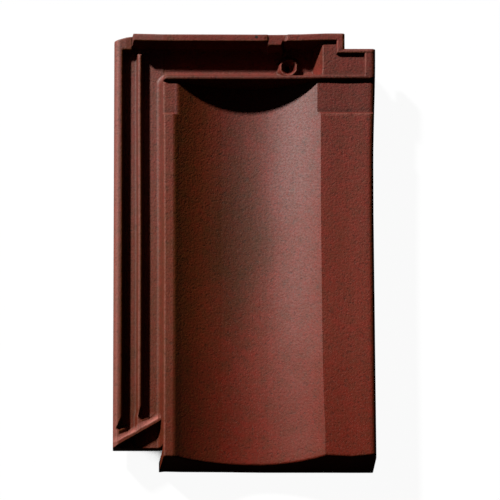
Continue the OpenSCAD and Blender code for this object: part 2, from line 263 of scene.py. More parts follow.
@dataclass(frozen=True)
class TileSizes:
    """Driving sizes of the tile, and the heights and places that follow from them."""

    length: float = 448.0
    cover_width: float = 220.0
    joint_gap: float = 4.6
    land_z: float = 43.0
    clay: float = 12.0
    pan_width: float = 150.0
    pan_depth: float = 23.0
    left_land: float = 12.3
    land_round: float = 2.5
    lock_depth: float = 19.5
    rib_height: float = 8.9
    rib_round: float = 2.2
    outer_rib: float = 9.2
    inner_rib: float = 3.5
    outer_channel: float = 12.7
    inner_channel: float = 15.25
    lock_lean: float = math.tan(math.radians(11.0))
    wall_lean: float = math.tan(math.radians(11.2))
    wall_shift: float = 1.5
    end_lean: float = math.tan(math.radians(4.6))
    foot_round: float = 2.6
    wall_foot_round: float = 6.0
    top_round: float = 1.7
    lock_setback: float = 20.0
    stop_angle: float = math.radians(30.2)
    dam_rise: float = 1.2
    dam_thick: float = 4.4
    rim_rise: float = 1.5
    rim_thick: float = 7.6
    head_channel: float = 36.0
    recess_length: float = 36.0
    recess_drop: float = 2.4
    plateau_drop: float = 2.0
    slope_width: float = 10.3
    cutout_width: float = 31.0
    cutout_length: float = 16.0
    leg_rim: float = 8.2
    edge_rim: float = 10.8
    shelf: float = 5.2
    apron: float = 12.0
    apron_lean: float = math.tan(math.radians(8.4))
    cover_thick: float = 9.0
    cover_rib_depth: float = 17.0

    @property
    def floor_z(self) -> float:
        """Height of the channels' floor."""
        return self.land_z - self.lock_depth

    @property
    def under_z(self) -> float:
        """Height of the underside below the channels."""
        return self.floor_z - self.clay

    @property
    def rib_z(self) -> float:
        """Height of the lock ribs."""
        return self.floor_z + self.rib_height

    @property
    def dam_z(self) -> float:
        """Height of the dam between pan and head channel."""
        return self.land_z + self.dam_rise

    @property
    def rim_z(self) -> float:
        """Height of the head rim, the tile's highest face."""
        return self.land_z + self.rim_rise

    @property
    def plateau_z(self) -> float:
        """Height of the plateau at the right of the head."""
        return self.land_z - self.plateau_drop

    @property
    def cover_under_z(self) -> float:
        """Height of the right land's underside."""
        return self.land_z - self.cover_thick

    @property
    def cover_rib_z(self) -> float:
        """Height of the cover ribs' feet."""
        return self.land_z - self.cover_rib_depth

    @property
    def rib_run(self) -> float:
        """How far a rib's flank leans out from top to foot."""
        return self.rib_height * self.lock_lean

    @property
    def outer_foot(self) -> float:
        """Foot of the outer rib, where the outer channel starts."""
        return self.outer_rib + self.rib_run

    @property
    def inner_foot(self) -> float:
        """Left foot of the inner rib."""
        return self.outer_foot + self.outer_channel

    @property
    def inner_left(self) -> float:
        """Left top edge of the inner rib."""
        return self.inner_foot + self.rib_run

    @property
    def inner_right(self) -> float:
        """Right top edge of the inner rib."""
        return self.inner_left + self.inner_rib

    @property
    def wall_foot(self) -> float:
        """Foot of the wall beside the left land."""
        return self.inner_right + self.rib_run + self.inner_channel

    @property
    def wall_top(self) -> float:
        """Left edge of the left land."""
        return self.wall_foot + self.lock_depth * self.lock_lean

    @property
    def wall_edge(self) -> float:
        """Upper edge of the wall, which leans out further than the ribs' flanks."""
        return self.wall_foot + self.wall_shift + self.lock_depth * self.wall_lean

    @property
    def pan_left(self) -> float:
        """Left edge of the pan."""
        return self.wall_top + self.left_land

    @property
    def pan_right(self) -> float:
        """Right edge of the pan."""
        return self.pan_left + self.pan_width

    @property
    def pan_x(self) -> float:
        """Middle of the pan."""
        return self.pan_left + self.pan_width / 2.0

    @property
    def pan_radius(self) -> float:
        """Radius of the pan's arc, through both of its edges and its lowest line."""
        half = self.pan_width / 2.0
        return (half * half + self.pan_depth * self.pan_depth) / (2.0 * self.pan_depth)

    @property
    def pan_axis_z(self) -> float:
        """Height of the arc's middle."""
        return self.land_z - self.pan_depth + self.pan_radius

    @property
    def width(self) -> float:
        """Whole width, from the outer rib's face to the right edge."""
        return self.cover_width + self.wall_top - self.joint_gap

    @property
    def corner_x(self) -> float:
        """Left side of the cut-out at the right of the head."""
        return self.width - self.cutout_width

    @property
    def rim_front(self) -> float:
        """Front edge of the head rim."""
        return self.length - self.rim_thick

    @property
    def dam_back(self) -> float:
        """Back edge of the dam."""
        return self.rim_front - self.head_channel

    @property
    def dam_front(self) -> float:
        """Front edge of the dam."""
        return self.dam_back - self.dam_thick

    @property
    def recess_start(self) -> float:
        """Start of the lowered lands."""
        return self.dam_front - self.recess_length

    @property
    def corner_back(self) -> float:
        """Front side of the cut-out at the right of the head."""
        return self.length - self.cutout_length

    @property
    def front_run(self) -> float:
        """How far the apron's face leans back from its foot to the lands."""
        return self.land_z * self.apron_lean

    def flat_z(self, places: Array, radius: float) -> Array:
        """Height of an arc of that radius about the pan's axis."""
        away = np.clip(places - self.pan_x, -radius, radius)
        return self.pan_axis_z - np.sqrt(radius * radius - away * away)


@dataclass(frozen=True)
class SideLock:
    """The two channels at the left, their ribs, and the slanting rib that ends them."""

    sizes: TileSizes
    face_lean: float = 0.8
    face_round: float = 6.0
    stop_x: float = 4.56
    stop_y: float = 23.0
    stop_low: float = -1.7
    stop_high: float = 1.8
    stop_fall: float = 0.6
    stop_slope: float = 6.0
    stop_low_round: float = 1.2
    stop_high_round: float = 2.4
    stop_fillet: float = 1.2
    clear_start: float = 48.0
    clear_end: float = 39.0
    clear_margin: float = 2.0
    outer_clear: float = 6.2
    inner_clear: float = 3.2
    plan_fillet: float = 3.0
    outer_web: SlantLine = SlantLine(3.2, 39.4, math.radians(64.8))
    inner_web: SlantLine = SlantLine(24.6, 51.4, math.radians(53.8))
    block_length: float = 14.0
    block_x: float = 18.6
    rib_gap: float = 11.0
    narrow_lines: tuple[float, ...] = (3.9, 5.2, 26.3)
    foot_lines: int = 3
    clear_lines: int = 12

    def flank(self) -> Profile:
        """A rib's height by the distance outside its top edge, with both ends rounded."""
        s = self.sizes
        return Profile.level(Corner(0.0, s.rib_z, s.rib_round), Corner(s.rib_run, s.floor_z, s.foot_round))

    def stop_bar(self) -> Profile:
        """The slanting rib across its own run: a steep lower side, a narrow top and a long slope."""
        s = self.sizes
        return Profile.level(
            Corner(self.stop_low - self.stop_fall, s.floor_z),
            Corner(self.stop_low, s.rib_z, self.stop_low_round),
            Corner(self.stop_high, s.rib_z, self.stop_high_round),
            Corner(self.stop_high + self.stop_slope, s.floor_z, s.foot_round),
        )

    def face(self) -> Profile:
        """The outer rib's rounded outer face, from the side of the tile inwards."""
        s = self.sizes
        return Profile.rounded(
            Corner(0.0, s.floor_z),
            Corner(self.face_lean, s.rib_z, self.face_round),
            Corner(FAR, s.rib_z),
        )

    def slant(self, x: Array) -> Array:
        """How far up the tile the slanting rib has run at a place across it."""
        s = self.sizes
        return (np.clip(x, self.stop_x, s.wall_edge) - self.stop_x) * math.tan(s.stop_angle)

    def clearing(self, row: Array) -> Array:
        """Share of the ribs' narrowing near the slanting rib, by distance along the channel."""
        return np.interp(row, [self.clear_end, self.clear_start], [1.0, 0.0])

    def clear_row(self) -> float:
        """Row above which the ribs have their full width."""
        return self.clear_start + self.clear_margin

    def across_stop(self, x: Array, y: Array) -> Array:
        """Distance from the slanting rib's middle line, square to its run and up the tile."""
        return (y - self.slant(x) - self.stop_y) * math.cos(self.sizes.stop_angle)

    def stop_rows(self) -> Array:
        """Rows of the grid on which the corners of the slanting rib lie."""
        return self.stop_y + self.stop_bar().lines() / math.cos(self.sizes.stop_angle)

    def rib_end(self) -> float:
        """Upper end of the inner rib, which stops short of the head rim."""
        return self.sizes.rim_front - self.rib_gap

    def heights(self, x: Array, y: Array, wall: Array) -> Array:
        """Heights of ribs and webs, from one plan distance to all of them.

        The distance outside each rib, web and wall is blended into one, so that their corners
        fill like fillets, and the ribs' flank turns that distance into a height. The slanting
        rib joins on with a small fillet.

        Args:
            x: Places across the tile.
            y: Places along the tile.
            wall: Distances outside the wall beside the channels, at the ribs' height.

        Returns:
            Heights of the lock, and a deep value beyond the wall.
        """
        s = self.sizes
        clear = self.clearing(y - self.slant(x))
        stop = self.across_stop(x, y)
        inner = np.maximum(s.inner_left - x, x + self.inner_clear * clear - s.inner_right)
        inner_web = np.maximum(self.inner_web.beyond(x, y), s.inner_left - x)
        parts = (
            np.maximum(np.maximum(inner, -stop), y - self.rib_end()),
            np.maximum(self.outer_web.beyond(x, y), -stop),
            np.maximum(inner_web, -stop),
            np.maximum(s.length - self.block_length - y, x - self.block_x),
            wall,
        )
        away = x + self.outer_clear * clear - s.outer_rib
        for part in parts:
            away = smooth_min(away, part, self.plan_fillet)
        lock = smooth_max(self.flank().at(away), self.stop_bar().at(stop), self.stop_fillet)
        lock = np.minimum(np.minimum(lock, s.rib_z), self.face().at(x))
        return np.where(x < s.wall_edge, lock, DEEP)

    def across_lines(self) -> Array:
        """Grid lines across the tile that the ribs need.

        Returns:
            Places of the lines, in no order.
        """
        s = self.sizes
        flank = self.flank().lines()
        return np.concatenate(
            [
                self.face().lines(),
                s.outer_rib + flank,
                s.inner_left - flank,
                s.inner_right + flank,
                [self.stop_x, self.block_x, *self.narrow_lines],
            ]
        )

    def along_lines(self) -> Array:
        """Grid lines along the tile that the slanting rib, the webs and the block need.

        Returns:
            Places of the lines, in no order.
        """
        s = self.sizes
        rows = self.stop_rows()
        return np.concatenate(
            [
                rows,
                np.linspace(s.lock_setback, rows[0], self.foot_lines),
                np.linspace(rows[-1], self.clear_row(), self.clear_lines),
                s.length - self.block_length - self.flank().lines(),
                self.rib_end() + self.flank().lines(),
            ]
        )


@dataclass(frozen=True)
class PanBody:
    """The pan, the lands beside it, their lowered ends, the dam behind them and the apron's top."""

    sizes: TileSizes
    pan_edge: float = 1.5
    crisp_edge: float = 0.05
    right_round: float = 4.6
    front_round: float = 2.4
    recess_edge: float = 0.5
    dam_round: float = 2.4
    dam_fillet: float = 1.0
    corner_round: float = 5.0
    dish: float = 0.5
    bank_reach: float = 20.0
    edge_reach: float = 3.0
    edge_count: int = 7
    wall_reach: tuple[float, float] = (-9.0, 7.0)
    back_reach: tuple[float, float] = (-6.0, 9.0)
    fine_step: float = 0.7
    dam_low_z: float = 20.0
    dam_lines: int = 9

    def outside(self, x: Array, y: Array) -> Array:
        """Distance outside the body's plan at the dam's height.

        The plan is a quarter plane, right of the wall and in front of the dam's back, with its
        corner rounded: beyond both sides the distance is measured from the corner's middle.

        Args:
            x: Places across the tile.
            y: Places along the tile.

        Returns:
            Distances, below zero inside the plan.
        """
        s = self.sizes
        left = self.wall_x() - x + self.corner_round
        back = y - s.dam_back + self.corner_round
        beyond = np.hypot(np.maximum(left, 0.0), np.maximum(back, 0.0))
        return beyond + np.minimum(np.maximum(left, back), 0.0) - self.corner_round

    def wall_x(self) -> float:
        """Left side of the body at the dam's height."""
        return self.sizes.wall_edge + self.sizes.dam_rise * self.sizes.wall_lean

    def bank(self) -> Profile:
        """The leaning wall by the distance outside the body, down to its filleted foot."""
        s = self.sizes
        return Profile.rounded(
            Corner(-self.bank_reach * s.wall_lean, s.dam_z + self.bank_reach),
            Corner((s.dam_z - s.floor_z) * s.wall_lean, s.floor_z, s.wall_foot_round),
            Corner(FAR, s.floor_z),
        )

    def ceiling(self) -> Profile:
        """Height of the lands along the tile: full, then lowered before the dam."""
        s = self.sizes
        return Profile.level(
            Corner(s.recess_start, s.land_z, self.recess_edge),
            Corner(s.recess_start + s.recess_drop, s.land_z - s.recess_drop, self.recess_edge),
        )

    def dam(self) -> Profile:
        """The dam's front face and its top, along the tile."""
        s = self.sizes
        return Profile.rounded(
            Corner(s.dam_front - (s.dam_z - DEEP) * s.lock_lean, DEEP),
            Corner(s.dam_front, s.dam_z, self.dam_round),
            Corner(s.dam_front + FAR, s.dam_z),
        )

    def heights(self, x: Array, y: Array, from_front: Array) -> Array:
        """Heights of the body: lands, pan and dam, cut by the leaning wall and rounded edges.

        The lands' height and the pan's arc meet in a soft edge at the left and a crisp one at
        the right, where the land is dished like a squared sine. The dam rises out of both, and
        every outer edge falls along a quarter circle.

        Args:
            x: Places across the tile.
            y: Places along the tile.
            from_front: Distances from the apron's upper edge.

        Returns:
            Heights of the body, and of the floor outside it.
        """
        s = self.sizes
        hollow = np.sin(math.pi * np.clip((x - s.pan_right) / (s.width - s.pan_right), 0.0, 1.0))
        land = self.ceiling().at(y) - self.dish * hollow * hollow
        reach = np.where(x < s.pan_x, self.pan_edge, self.crisp_edge)
        top = smooth_min(land, s.flat_z(x, s.pan_radius), reach)
        top = smooth_max(top, self.dam().at(y), self.dam_fillet)
        away = self.outside(x, y)
        inside = (s.dam_z - top + s.land_round) * s.wall_lean - away
        top = top - edge_drop(inside, s.land_round)
        top = top - edge_drop(s.width - x, self.right_round)
        top = top - edge_drop(from_front, self.front_round)
        return np.minimum(top, self.bank().at(away))

    def low_half(self) -> float:
        """Half the pan's width at the height of the lowered lands."""
        s = self.sizes
        return math.sqrt(s.pan_radius**2 - (s.pan_axis_z - s.land_z + s.recess_drop) ** 2)

    def creases(self) -> Array:
        """Grid lines on the pan's crisp right edge, at the full and at the lowered land."""
        return np.array([self.sizes.pan_right, self.sizes.pan_x + self.low_half()])

    def border_x(self) -> float:
        """Left border of the body's top where no lock lies beside it."""
        s = self.sizes
        return self.wall_x() - (s.dam_rise + s.land_round) * s.wall_lean

    def across_lines(self) -> Array:
        """Grid lines across the tile that the wall, the pan's edges and the right edge need.

        Returns:
            Places of the lines, in no order.
        """
        s = self.sizes
        edge = np.linspace(-self.edge_reach, self.edge_reach, self.edge_count)
        half = self.low_half()
        return np.concatenate(
            [
                self.wall_x() - self.bank().lines(),
                self.wall_x() + np.arange(*self.wall_reach, self.fine_step),
                self.border_x() + edge_lines(s.land_round),
                s.pan_left + edge,
                s.pan_right + edge,
                s.pan_x - half + edge,
                s.pan_x + half + edge,
                s.width - edge_lines(self.right_round),
            ]
        )

    def along_lines(self) -> Array:
        """Grid lines along the tile that the apron's edge, the recess and the dam need.

        Returns:
            Places of the lines, in no order.
        """
        s = self.sizes
        dam_face = s.dam_z - np.linspace(self.dam_low_z, s.land_z, self.dam_lines)
        return np.concatenate(
            [
                s.front_run + edge_lines(self.front_round),
                self.ceiling().lines(),
                self.dam().lines(),
                s.dam_front - dam_face * s.lock_lean,
                s.dam_back - edge_lines(s.land_round) + s.land_round * s.wall_lean,
                s.dam_back + self.bank().lines(),
                s.dam_back + np.arange(*self.back_reach, self.fine_step),
            ]
        )


@dataclass(frozen=True)
class HeadLock:
    """The head channel with its rim and lug, and the rims and plateau of the right corner."""

    sizes: TileSizes
    lug_x: float = 155.4
    lug_slant: float = 0.33
    lug_width: float = 21.5
    lug_thick: float = 4.0
    lug_drop: float = 1.5
    lug_lift: float = 0.3
    lug_run: float = 1.0
    lug_far_run: float = 3.0
    lug_round: float = 0.5
    notch_reach: float = 6.0
    rim_left: float = 18.6
    rim_left_lean: float = 0.0975
    rim_left_round: float = 1.5
    right_round: float = 4.0
    cutout_round: float = 3.0
    step_fillet: float = 0.6
    dam_overlap: float = 3.0
    flank_lines: tuple[float, ...] = (-0.3, -0.6)
    slant_reach: float = 16.0
    slant_lines: int = 8
    rim_end_margin: tuple[float, float] = (-0.4, 0.6)
    rim_end_lines: int = 6

    def slope(self) -> Profile:
        """The channel's floor, the slope at its right end and the plateau, across the tile."""
        s = self.sizes
        return Profile.level(
            Corner(s.pan_right - s.slope_width, s.floor_z, s.foot_round),
            Corner(s.pan_right, s.plateau_z, s.top_round),
        )

    def riser(self, edge: float, top_z: float) -> Profile:
        """A leaning face that rises from the floor to an edge along the tile.

        Args:
            edge: Place of the upper edge.
            top_z: Height of the flat behind it.

        Returns:
            The face with a filleted foot and a rounded edge, along the tile.
        """
        s = self.sizes
        fall = (top_z - s.floor_z) * s.lock_lean
        return Profile.level(Corner(edge - fall, s.floor_z, s.foot_round), Corner(edge, top_z, s.top_round))

    def rim(self) -> Profile:
        """The head rim's front face and its top, along the tile."""
        return self.riser(self.sizes.rim_front, self.sizes.rim_z)

    def lug(self) -> Profile:
        """The lug's front face and its top, along the tile."""
        return self.riser(self.sizes.rim_front - self.lug_thick, self.sizes.rim_z - self.lug_drop)

    def lug_end(self) -> float:
        """Right end of the lug at the tile's back edge."""
        return self.lug_x + self.lug_width

    def lug_ends(self) -> Profile:
        """The lug's two steep ends, across the tile.

        Returns:
            The lug's height between its ends, and the floor beyond them.
        """
        floor_z = self.sizes.floor_z
        top_z = self.sizes.rim_z - self.lug_drop + self.lug_lift
        return Profile.level(
            Corner(self.lug_x, floor_z),
            Corner(self.lug_x + self.lug_run, top_z, self.lug_round),
            Corner(self.lug_end() - self.lug_far_run, top_z, self.lug_round),
            Corner(self.lug_end(), floor_z),
        )

    def step(self, places: Array, edge: float, side: Side, top_z: float) -> Array:
        """A low rim's flank: its full height inside the edge, and a short rounded fall outside.

        Args:
            places: Places across the edge.
            edge: Place of the edge.
            side: The way that the flank faces, where the rim lies on the other side of the edge.
            top_z: Height of the rim.

        Returns:
            The heights, falling steeply beyond the edge.
        """
        s = self.sizes
        inside = (places - edge) * -side.value
        return top_z - edge_drop(inside, s.top_round) + np.minimum(inside, 0.0) / s.lock_lean

    def heights(self, x: Array, y: Array) -> Array:
        """Heights of everything behind the dam, as the highest of its parts.

        Each part is the lower of its profile along the tile and its profile across it. The rim
        sinks a little over the lug, whose right end slants.

        Args:
            x: Places across the tile.
            y: Places along the tile.

        Returns:
            Heights, and a deep value in front of the dam.
        """
        s = self.sizes
        left_end = s.floor_z + (x - self.rim_left) / self.rim_left_lean
        rim = smooth_min(self.rim().at(y), left_end, self.rim_left_round)
        slid = x + self.lug_slant * (s.length - y) * (x > self.lug_x + self.lug_width / 2.0)
        notch = np.minimum(
            self.step(slid, self.lug_x, Side.LEFT, 0.0), self.step(slid, self.lug_end(), Side.RIGHT, 0.0)
        )
        sunk = np.clip(1.0 + notch / s.top_round, 0.0, 1.0) * (y > s.rim_front - self.notch_reach)
        rim = np.maximum(rim - self.lug_drop * sunk, s.floor_z)
        lug = np.minimum(self.lug().at(y), self.lug_ends().at(slid))
        leg = self.step(x, s.corner_x - s.leg_rim, Side.LEFT, s.rim_z)
        front = self.step(y, s.corner_back - s.shelf, Side.LEFT, s.rim_z)
        edge_rim = self.step(x, s.width - s.edge_rim, Side.LEFT, s.dam_z)
        corner_rims = np.maximum(np.minimum(leg, front), edge_rim)
        head = np.maximum(self.slope().at(x), np.maximum(rim, lug))
        head = np.minimum(smooth_max(head, corner_rims, self.step_fillet), s.rim_z)
        head = head - edge_drop(s.length - y, s.top_round)
        cutout = np.maximum(s.corner_x - x, s.corner_back - y)
        head = head - edge_drop(cutout, self.cutout_round) * (y > s.dam_back)
        head = head - edge_drop(s.width - x, self.right_round)
        return np.where((y > s.dam_back - self.dam_overlap) & (x > self.rim_left), head, DEEP)

    def flank(self) -> Array:
        """Distances from a low rim's edge at which grid lines run."""
        return np.append(edge_lines(self.sizes.top_round), self.flank_lines)

    def across_lines(self) -> Array:
        """Grid lines across the tile that the slope, the lug and the corner's rims need.

        Returns:
            Places of the lines, in no order.
        """
        s = self.sizes
        first, last = self.rim_end_margin
        rim_run = (s.rim_z - s.floor_z) * self.rim_left_lean
        lug_end = self.lug_end()
        return np.concatenate(
            [
                self.slope().lines(),
                self.lug_ends().lines(),
                np.linspace(lug_end - self.lug_slant * self.slant_reach, lug_end, self.slant_lines),
                s.corner_x - s.leg_rim + self.flank(),
                s.corner_x - edge_lines(self.cutout_round),
                s.width - s.edge_rim + self.flank(),
                self.rim_left + np.linspace(first, rim_run + last, self.rim_end_lines),
            ]
        )

    def along_lines(self) -> Array:
        """Grid lines along the tile that the rim, the lug and the shelf need.

        Returns:
            Places of the lines, in no order.
        """
        s = self.sizes
        return np.concatenate(
            [
                self.rim().lines(),
                self.lug().lines(),
                s.length - edge_lines(s.top_round),
                s.corner_back - s.shelf + self.flank(),
                s.corner_back - edge_lines(self.cutout_round),
            ]
        )


@dataclass(frozen=True)
class NailRing:
    """The raised ring in the head channel around the bore for a nail."""

    sizes: TileSizes
    side: float = 39.0
    from_rim: float = 24.0
    bore: float = 3.0
    ring_radius: float = 8.2
    ring_tube: float = 4.6
    ring_shift: float = 1.5
    rise: float = 7.0
    line_reach: tuple[float, float] = (0.5, 10.6)
    line_step: float = 0.75
    top_round: tuple[float, float] = (9.4, 11.9)
    low_round: tuple[float, float] = (3.4, 5.6)

    def middle(self) -> tuple[float, float]:
        """Place of the hole's middle."""
        return self.sizes.pan_x + self.side, self.sizes.rim_front - self.from_rim

    def heights(self, x: Array, y: Array) -> Array:
        """Heights of the ring, and a deep value away from it.

        The ring's section is one wave of a cosine, highest on a circle that sits a little right
        of the hole.

        Args:
            x: Places across the tile.
            y: Places along the tile.

        Returns:
            Heights of the ring.
        """
        middle_x, middle_y = self.middle()
        off = np.abs(np.hypot(x - middle_x - self.ring_shift, y - middle_y) - self.ring_radius)
        wave = (1.0 + np.cos(math.pi * np.minimum(off / self.ring_tube, 1.0))) / 2.0
        return np.where(off < self.ring_tube, self.sizes.floor_z + self.rise * wave, DEEP)

    def lines(self) -> Array:
        """Distances from the middle at which grid lines run, both ways."""
        outwards = self.bore + np.arange(*self.line_reach, self.line_step)
        return np.concatenate([-outwards, outwards])

    def rounded_grid(self, x: Array, y: Array, reach: tuple[float, float]) -> tuple[Array, Array]:
        """Turns the square grid lines around the hole into circles.

        A point on the square at distance m from the middle moves to the circle of radius m in
        its own direction. The move is whole up to one distance and fades out at another.

        Args:
            x: Places across the tile.
            y: Places along the tile.
            reach: Distance up to which the lines are round, and where they are straight again.

        Returns:
            The moved places across and along the tile.
        """
        middle_x, middle_y = self.middle()
        dx, dy = x - middle_x, y - middle_y
        square = np.maximum(np.abs(dx), np.abs(dy))
        away = np.maximum(np.hypot(dx, dy), TINY)
        scale = 1.0 + (1.0 - ease(square, *reach)) * (square / away - 1.0)
        return middle_x + dx * scale, middle_y + dy * scale


@dataclass(frozen=True)
class Underside:
    """The lower face: shell under the pan, side slab, cover ribs, apron's back and hanging nibs."""

    sizes: TileSizes
    web_run: float = 8.1
    web_rise: float = 19.0
    web_blend: float = 3.0
    shell_edge_z: float = 29.8
    cover_rib: float = 6.0
    rib_middle: float = 236.0
    rib_side: float = 5.0
    edge_rib: float = 7.5
    rib_start: float = 61.4
    rib_end_run: float = 2.0
    slab_round: float = 2.0
    slab_run: float = 1.6
    slab_above: float = 40.0
    nib_width: float = 42.0
    nib_pitch: float = 96.0
    nib_face: float = 426.0
    nib_root: float = 18.0
    nib_foot: float = 14.0
    nib_sink: float = 1.0
    steep: float = 0.8
    edge_round: float = 1.7
    apron_lip: float = 1.0
    apron_turn: float = 0.6
    apron_run: float = 10.4
    web_lines: tuple[float, ...] = (-1.0, 0.0, 2.5, 5.0, 7.0, 8.5)
    apron_lines: tuple[float, ...] = (13.0, 15.0, 17.5)
    rib_lines: tuple[float, ...] = (0.0, 0.7, 1.3, 2.0)
    slab_lines: tuple[float, ...] = (-1.6, -1.0, -0.5, 0.0)
    nib_line: float = 0.5
    nib_back_lines: tuple[float, ...] = (0.0, 2.0, 4.0)

    def right_x(self, z: float) -> float:
        """Place of the leaning right face at a height."""
        s = self.sizes
        return s.width - (s.land_z - s.land_round - z) * s.end_lean

    def cover_ribs(self) -> Profile:
        """Underside of the right land with its two ribs, across the tile.

        Returns:
            The heights of the ribs' feet, with flaring sides up to the land's underside.
        """
        s = self.sizes
        low, high, turn = s.cover_rib_z, s.cover_under_z, s.top_round
        flare = (high - low) * s.lock_lean
        left, right = self.rib_middle - self.cover_rib / 2.0, self.rib_middle + self.cover_rib / 2.0
        edge = self.right_x(low) - self.edge_rib
        return Profile.level(
            Corner(left - flare, high, turn),
            Corner(left, low, turn),
            Corner(right, low, turn),
            Corner(right + flare, high, turn),
            Corner(edge - flare, high, turn),
            Corner(edge, low, turn),
        )

    def slab(self) -> Profile:
        """Underside of the head's slab across the tile, up to the right land's underside."""
        s = self.sizes
        return Profile.level(
            Corner(s.pan_right, s.under_z, self.slab_round),
            Corner(s.cover_width, s.cover_under_z, self.slab_round),
        )

    def slab_front(self) -> float:
        """Front end of the head's slab, under the dam's foot."""
        s = self.sizes
        return s.dam_front - (s.dam_z - s.floor_z) * s.lock_lean

    def nibs(self, x: Array, y: Array) -> Array:
        """Heights of the two nibs: zero on their feet, and steep sides around them.

        The sides and the front rise by their height within a fixed run, the back leans out
        from foot to root, and the feet's edges are quarter circles.

        Args:
            x: Places across the tile.
            y: Places along the tile.

        Returns:
            Heights of the nibs, above the underside away from them.
        """
        s = self.sizes
        off = np.abs(np.abs(x - s.pan_x) - self.nib_pitch / 2.0) - self.nib_width / 2.0
        front = self.nib_face - y
        behind = y - self.nib_face - self.nib_foot
        taper = (self.nib_root - self.nib_foot) / (s.under_z + self.nib_sink)
        sides = np.maximum(np.maximum(off, front), 0.0) / (self.steep / s.under_z)
        rise = edge_drop(-np.maximum(off, np.maximum(front, behind)), self.edge_round)
        return np.maximum(sides, np.maximum(behind / taper, 0.0)) + rise

    def heights(self, x: Array, y: Array) -> Array:
        """Heights of the underside: the lowest of its parts at each place.

        Under the pan runs an arc about the pan's axis, one wall of clay further out, with a
        web at its left. Slab, nibs and apron hang lower, each where it is.

        Args:
            x: Places across the tile.
            y: Places along the tile.

        Returns:
            Heights of the lower face before its edges are rounded.
        """
        s = self.sizes
        shell = s.flat_z(x, s.pan_radius + s.clay)
        web = s.under_z + (x - s.wall_foot - s.clay) * self.web_rise / self.web_run
        pan = np.maximum(s.under_z, smooth_min(web, shell, self.web_blend))
        step = np.interp(x, [s.pan_right, s.cover_width], [self.shell_edge_z, s.cover_under_z])
        ribs = np.where(x > s.cover_width + self.rib_side, self.cover_ribs().at(x), s.cover_under_z)
        share = ease(y, self.rib_start, self.rib_start + self.rib_end_run)
        cover = np.where(x > s.cover_width, s.cover_under_z + (ribs - s.cover_under_z) * share, step)
        under = np.where(x < s.pan_right, pan, cover)
        front = self.slab_front()
        head = self.slab().at(x) + self.slab_above * (1.0 - ease(y, front - self.slab_run, front))
        under = np.minimum(np.minimum(under, head), self.nibs(x, y))
        back = [s.apron - self.apron_lip, s.apron, s.apron + self.apron_run]
        return np.minimum(under, np.interp(y, back, [0.0, self.apron_turn, s.land_z]))

    def across_lines(self) -> Array:
        """Grid lines across the tile that webs, ribs and nibs need.

        Returns:
            Places of the lines, in no order.
        """
        s = self.sizes
        web = s.wall_foot + s.clay + np.array(self.web_lines)
        edge = self.nib_width / 2.0 + np.array([0.0, self.steep, -self.nib_line, -self.edge_round])
        middles = [s.pan_x + side.value * self.nib_pitch / 2.0 for side in Side]
        nibs = [middle + side.value * edge for middle in middles for side in Side]
        return np.concatenate([web, self.cover_ribs().lines(), self.slab().lines(), *nibs])

    def along_lines(self) -> Array:
        """Grid lines along the tile that the apron's back, the ribs' ends, slab and nibs need.

        Returns:
            Places of the lines, in no order.
        """
        foot = self.nib_face + self.nib_foot
        return np.concatenate(
            [
                self.apron_lines,
                self.rib_start + np.array(self.rib_lines),
                self.slab_front() + np.array(self.slab_lines),
                self.nib_face + np.array([-self.steep, 0.0, self.nib_line, self.edge_round]),
                foot + np.array([-self.edge_round, -self.nib_line, *self.nib_back_lines]),
            ]
        )


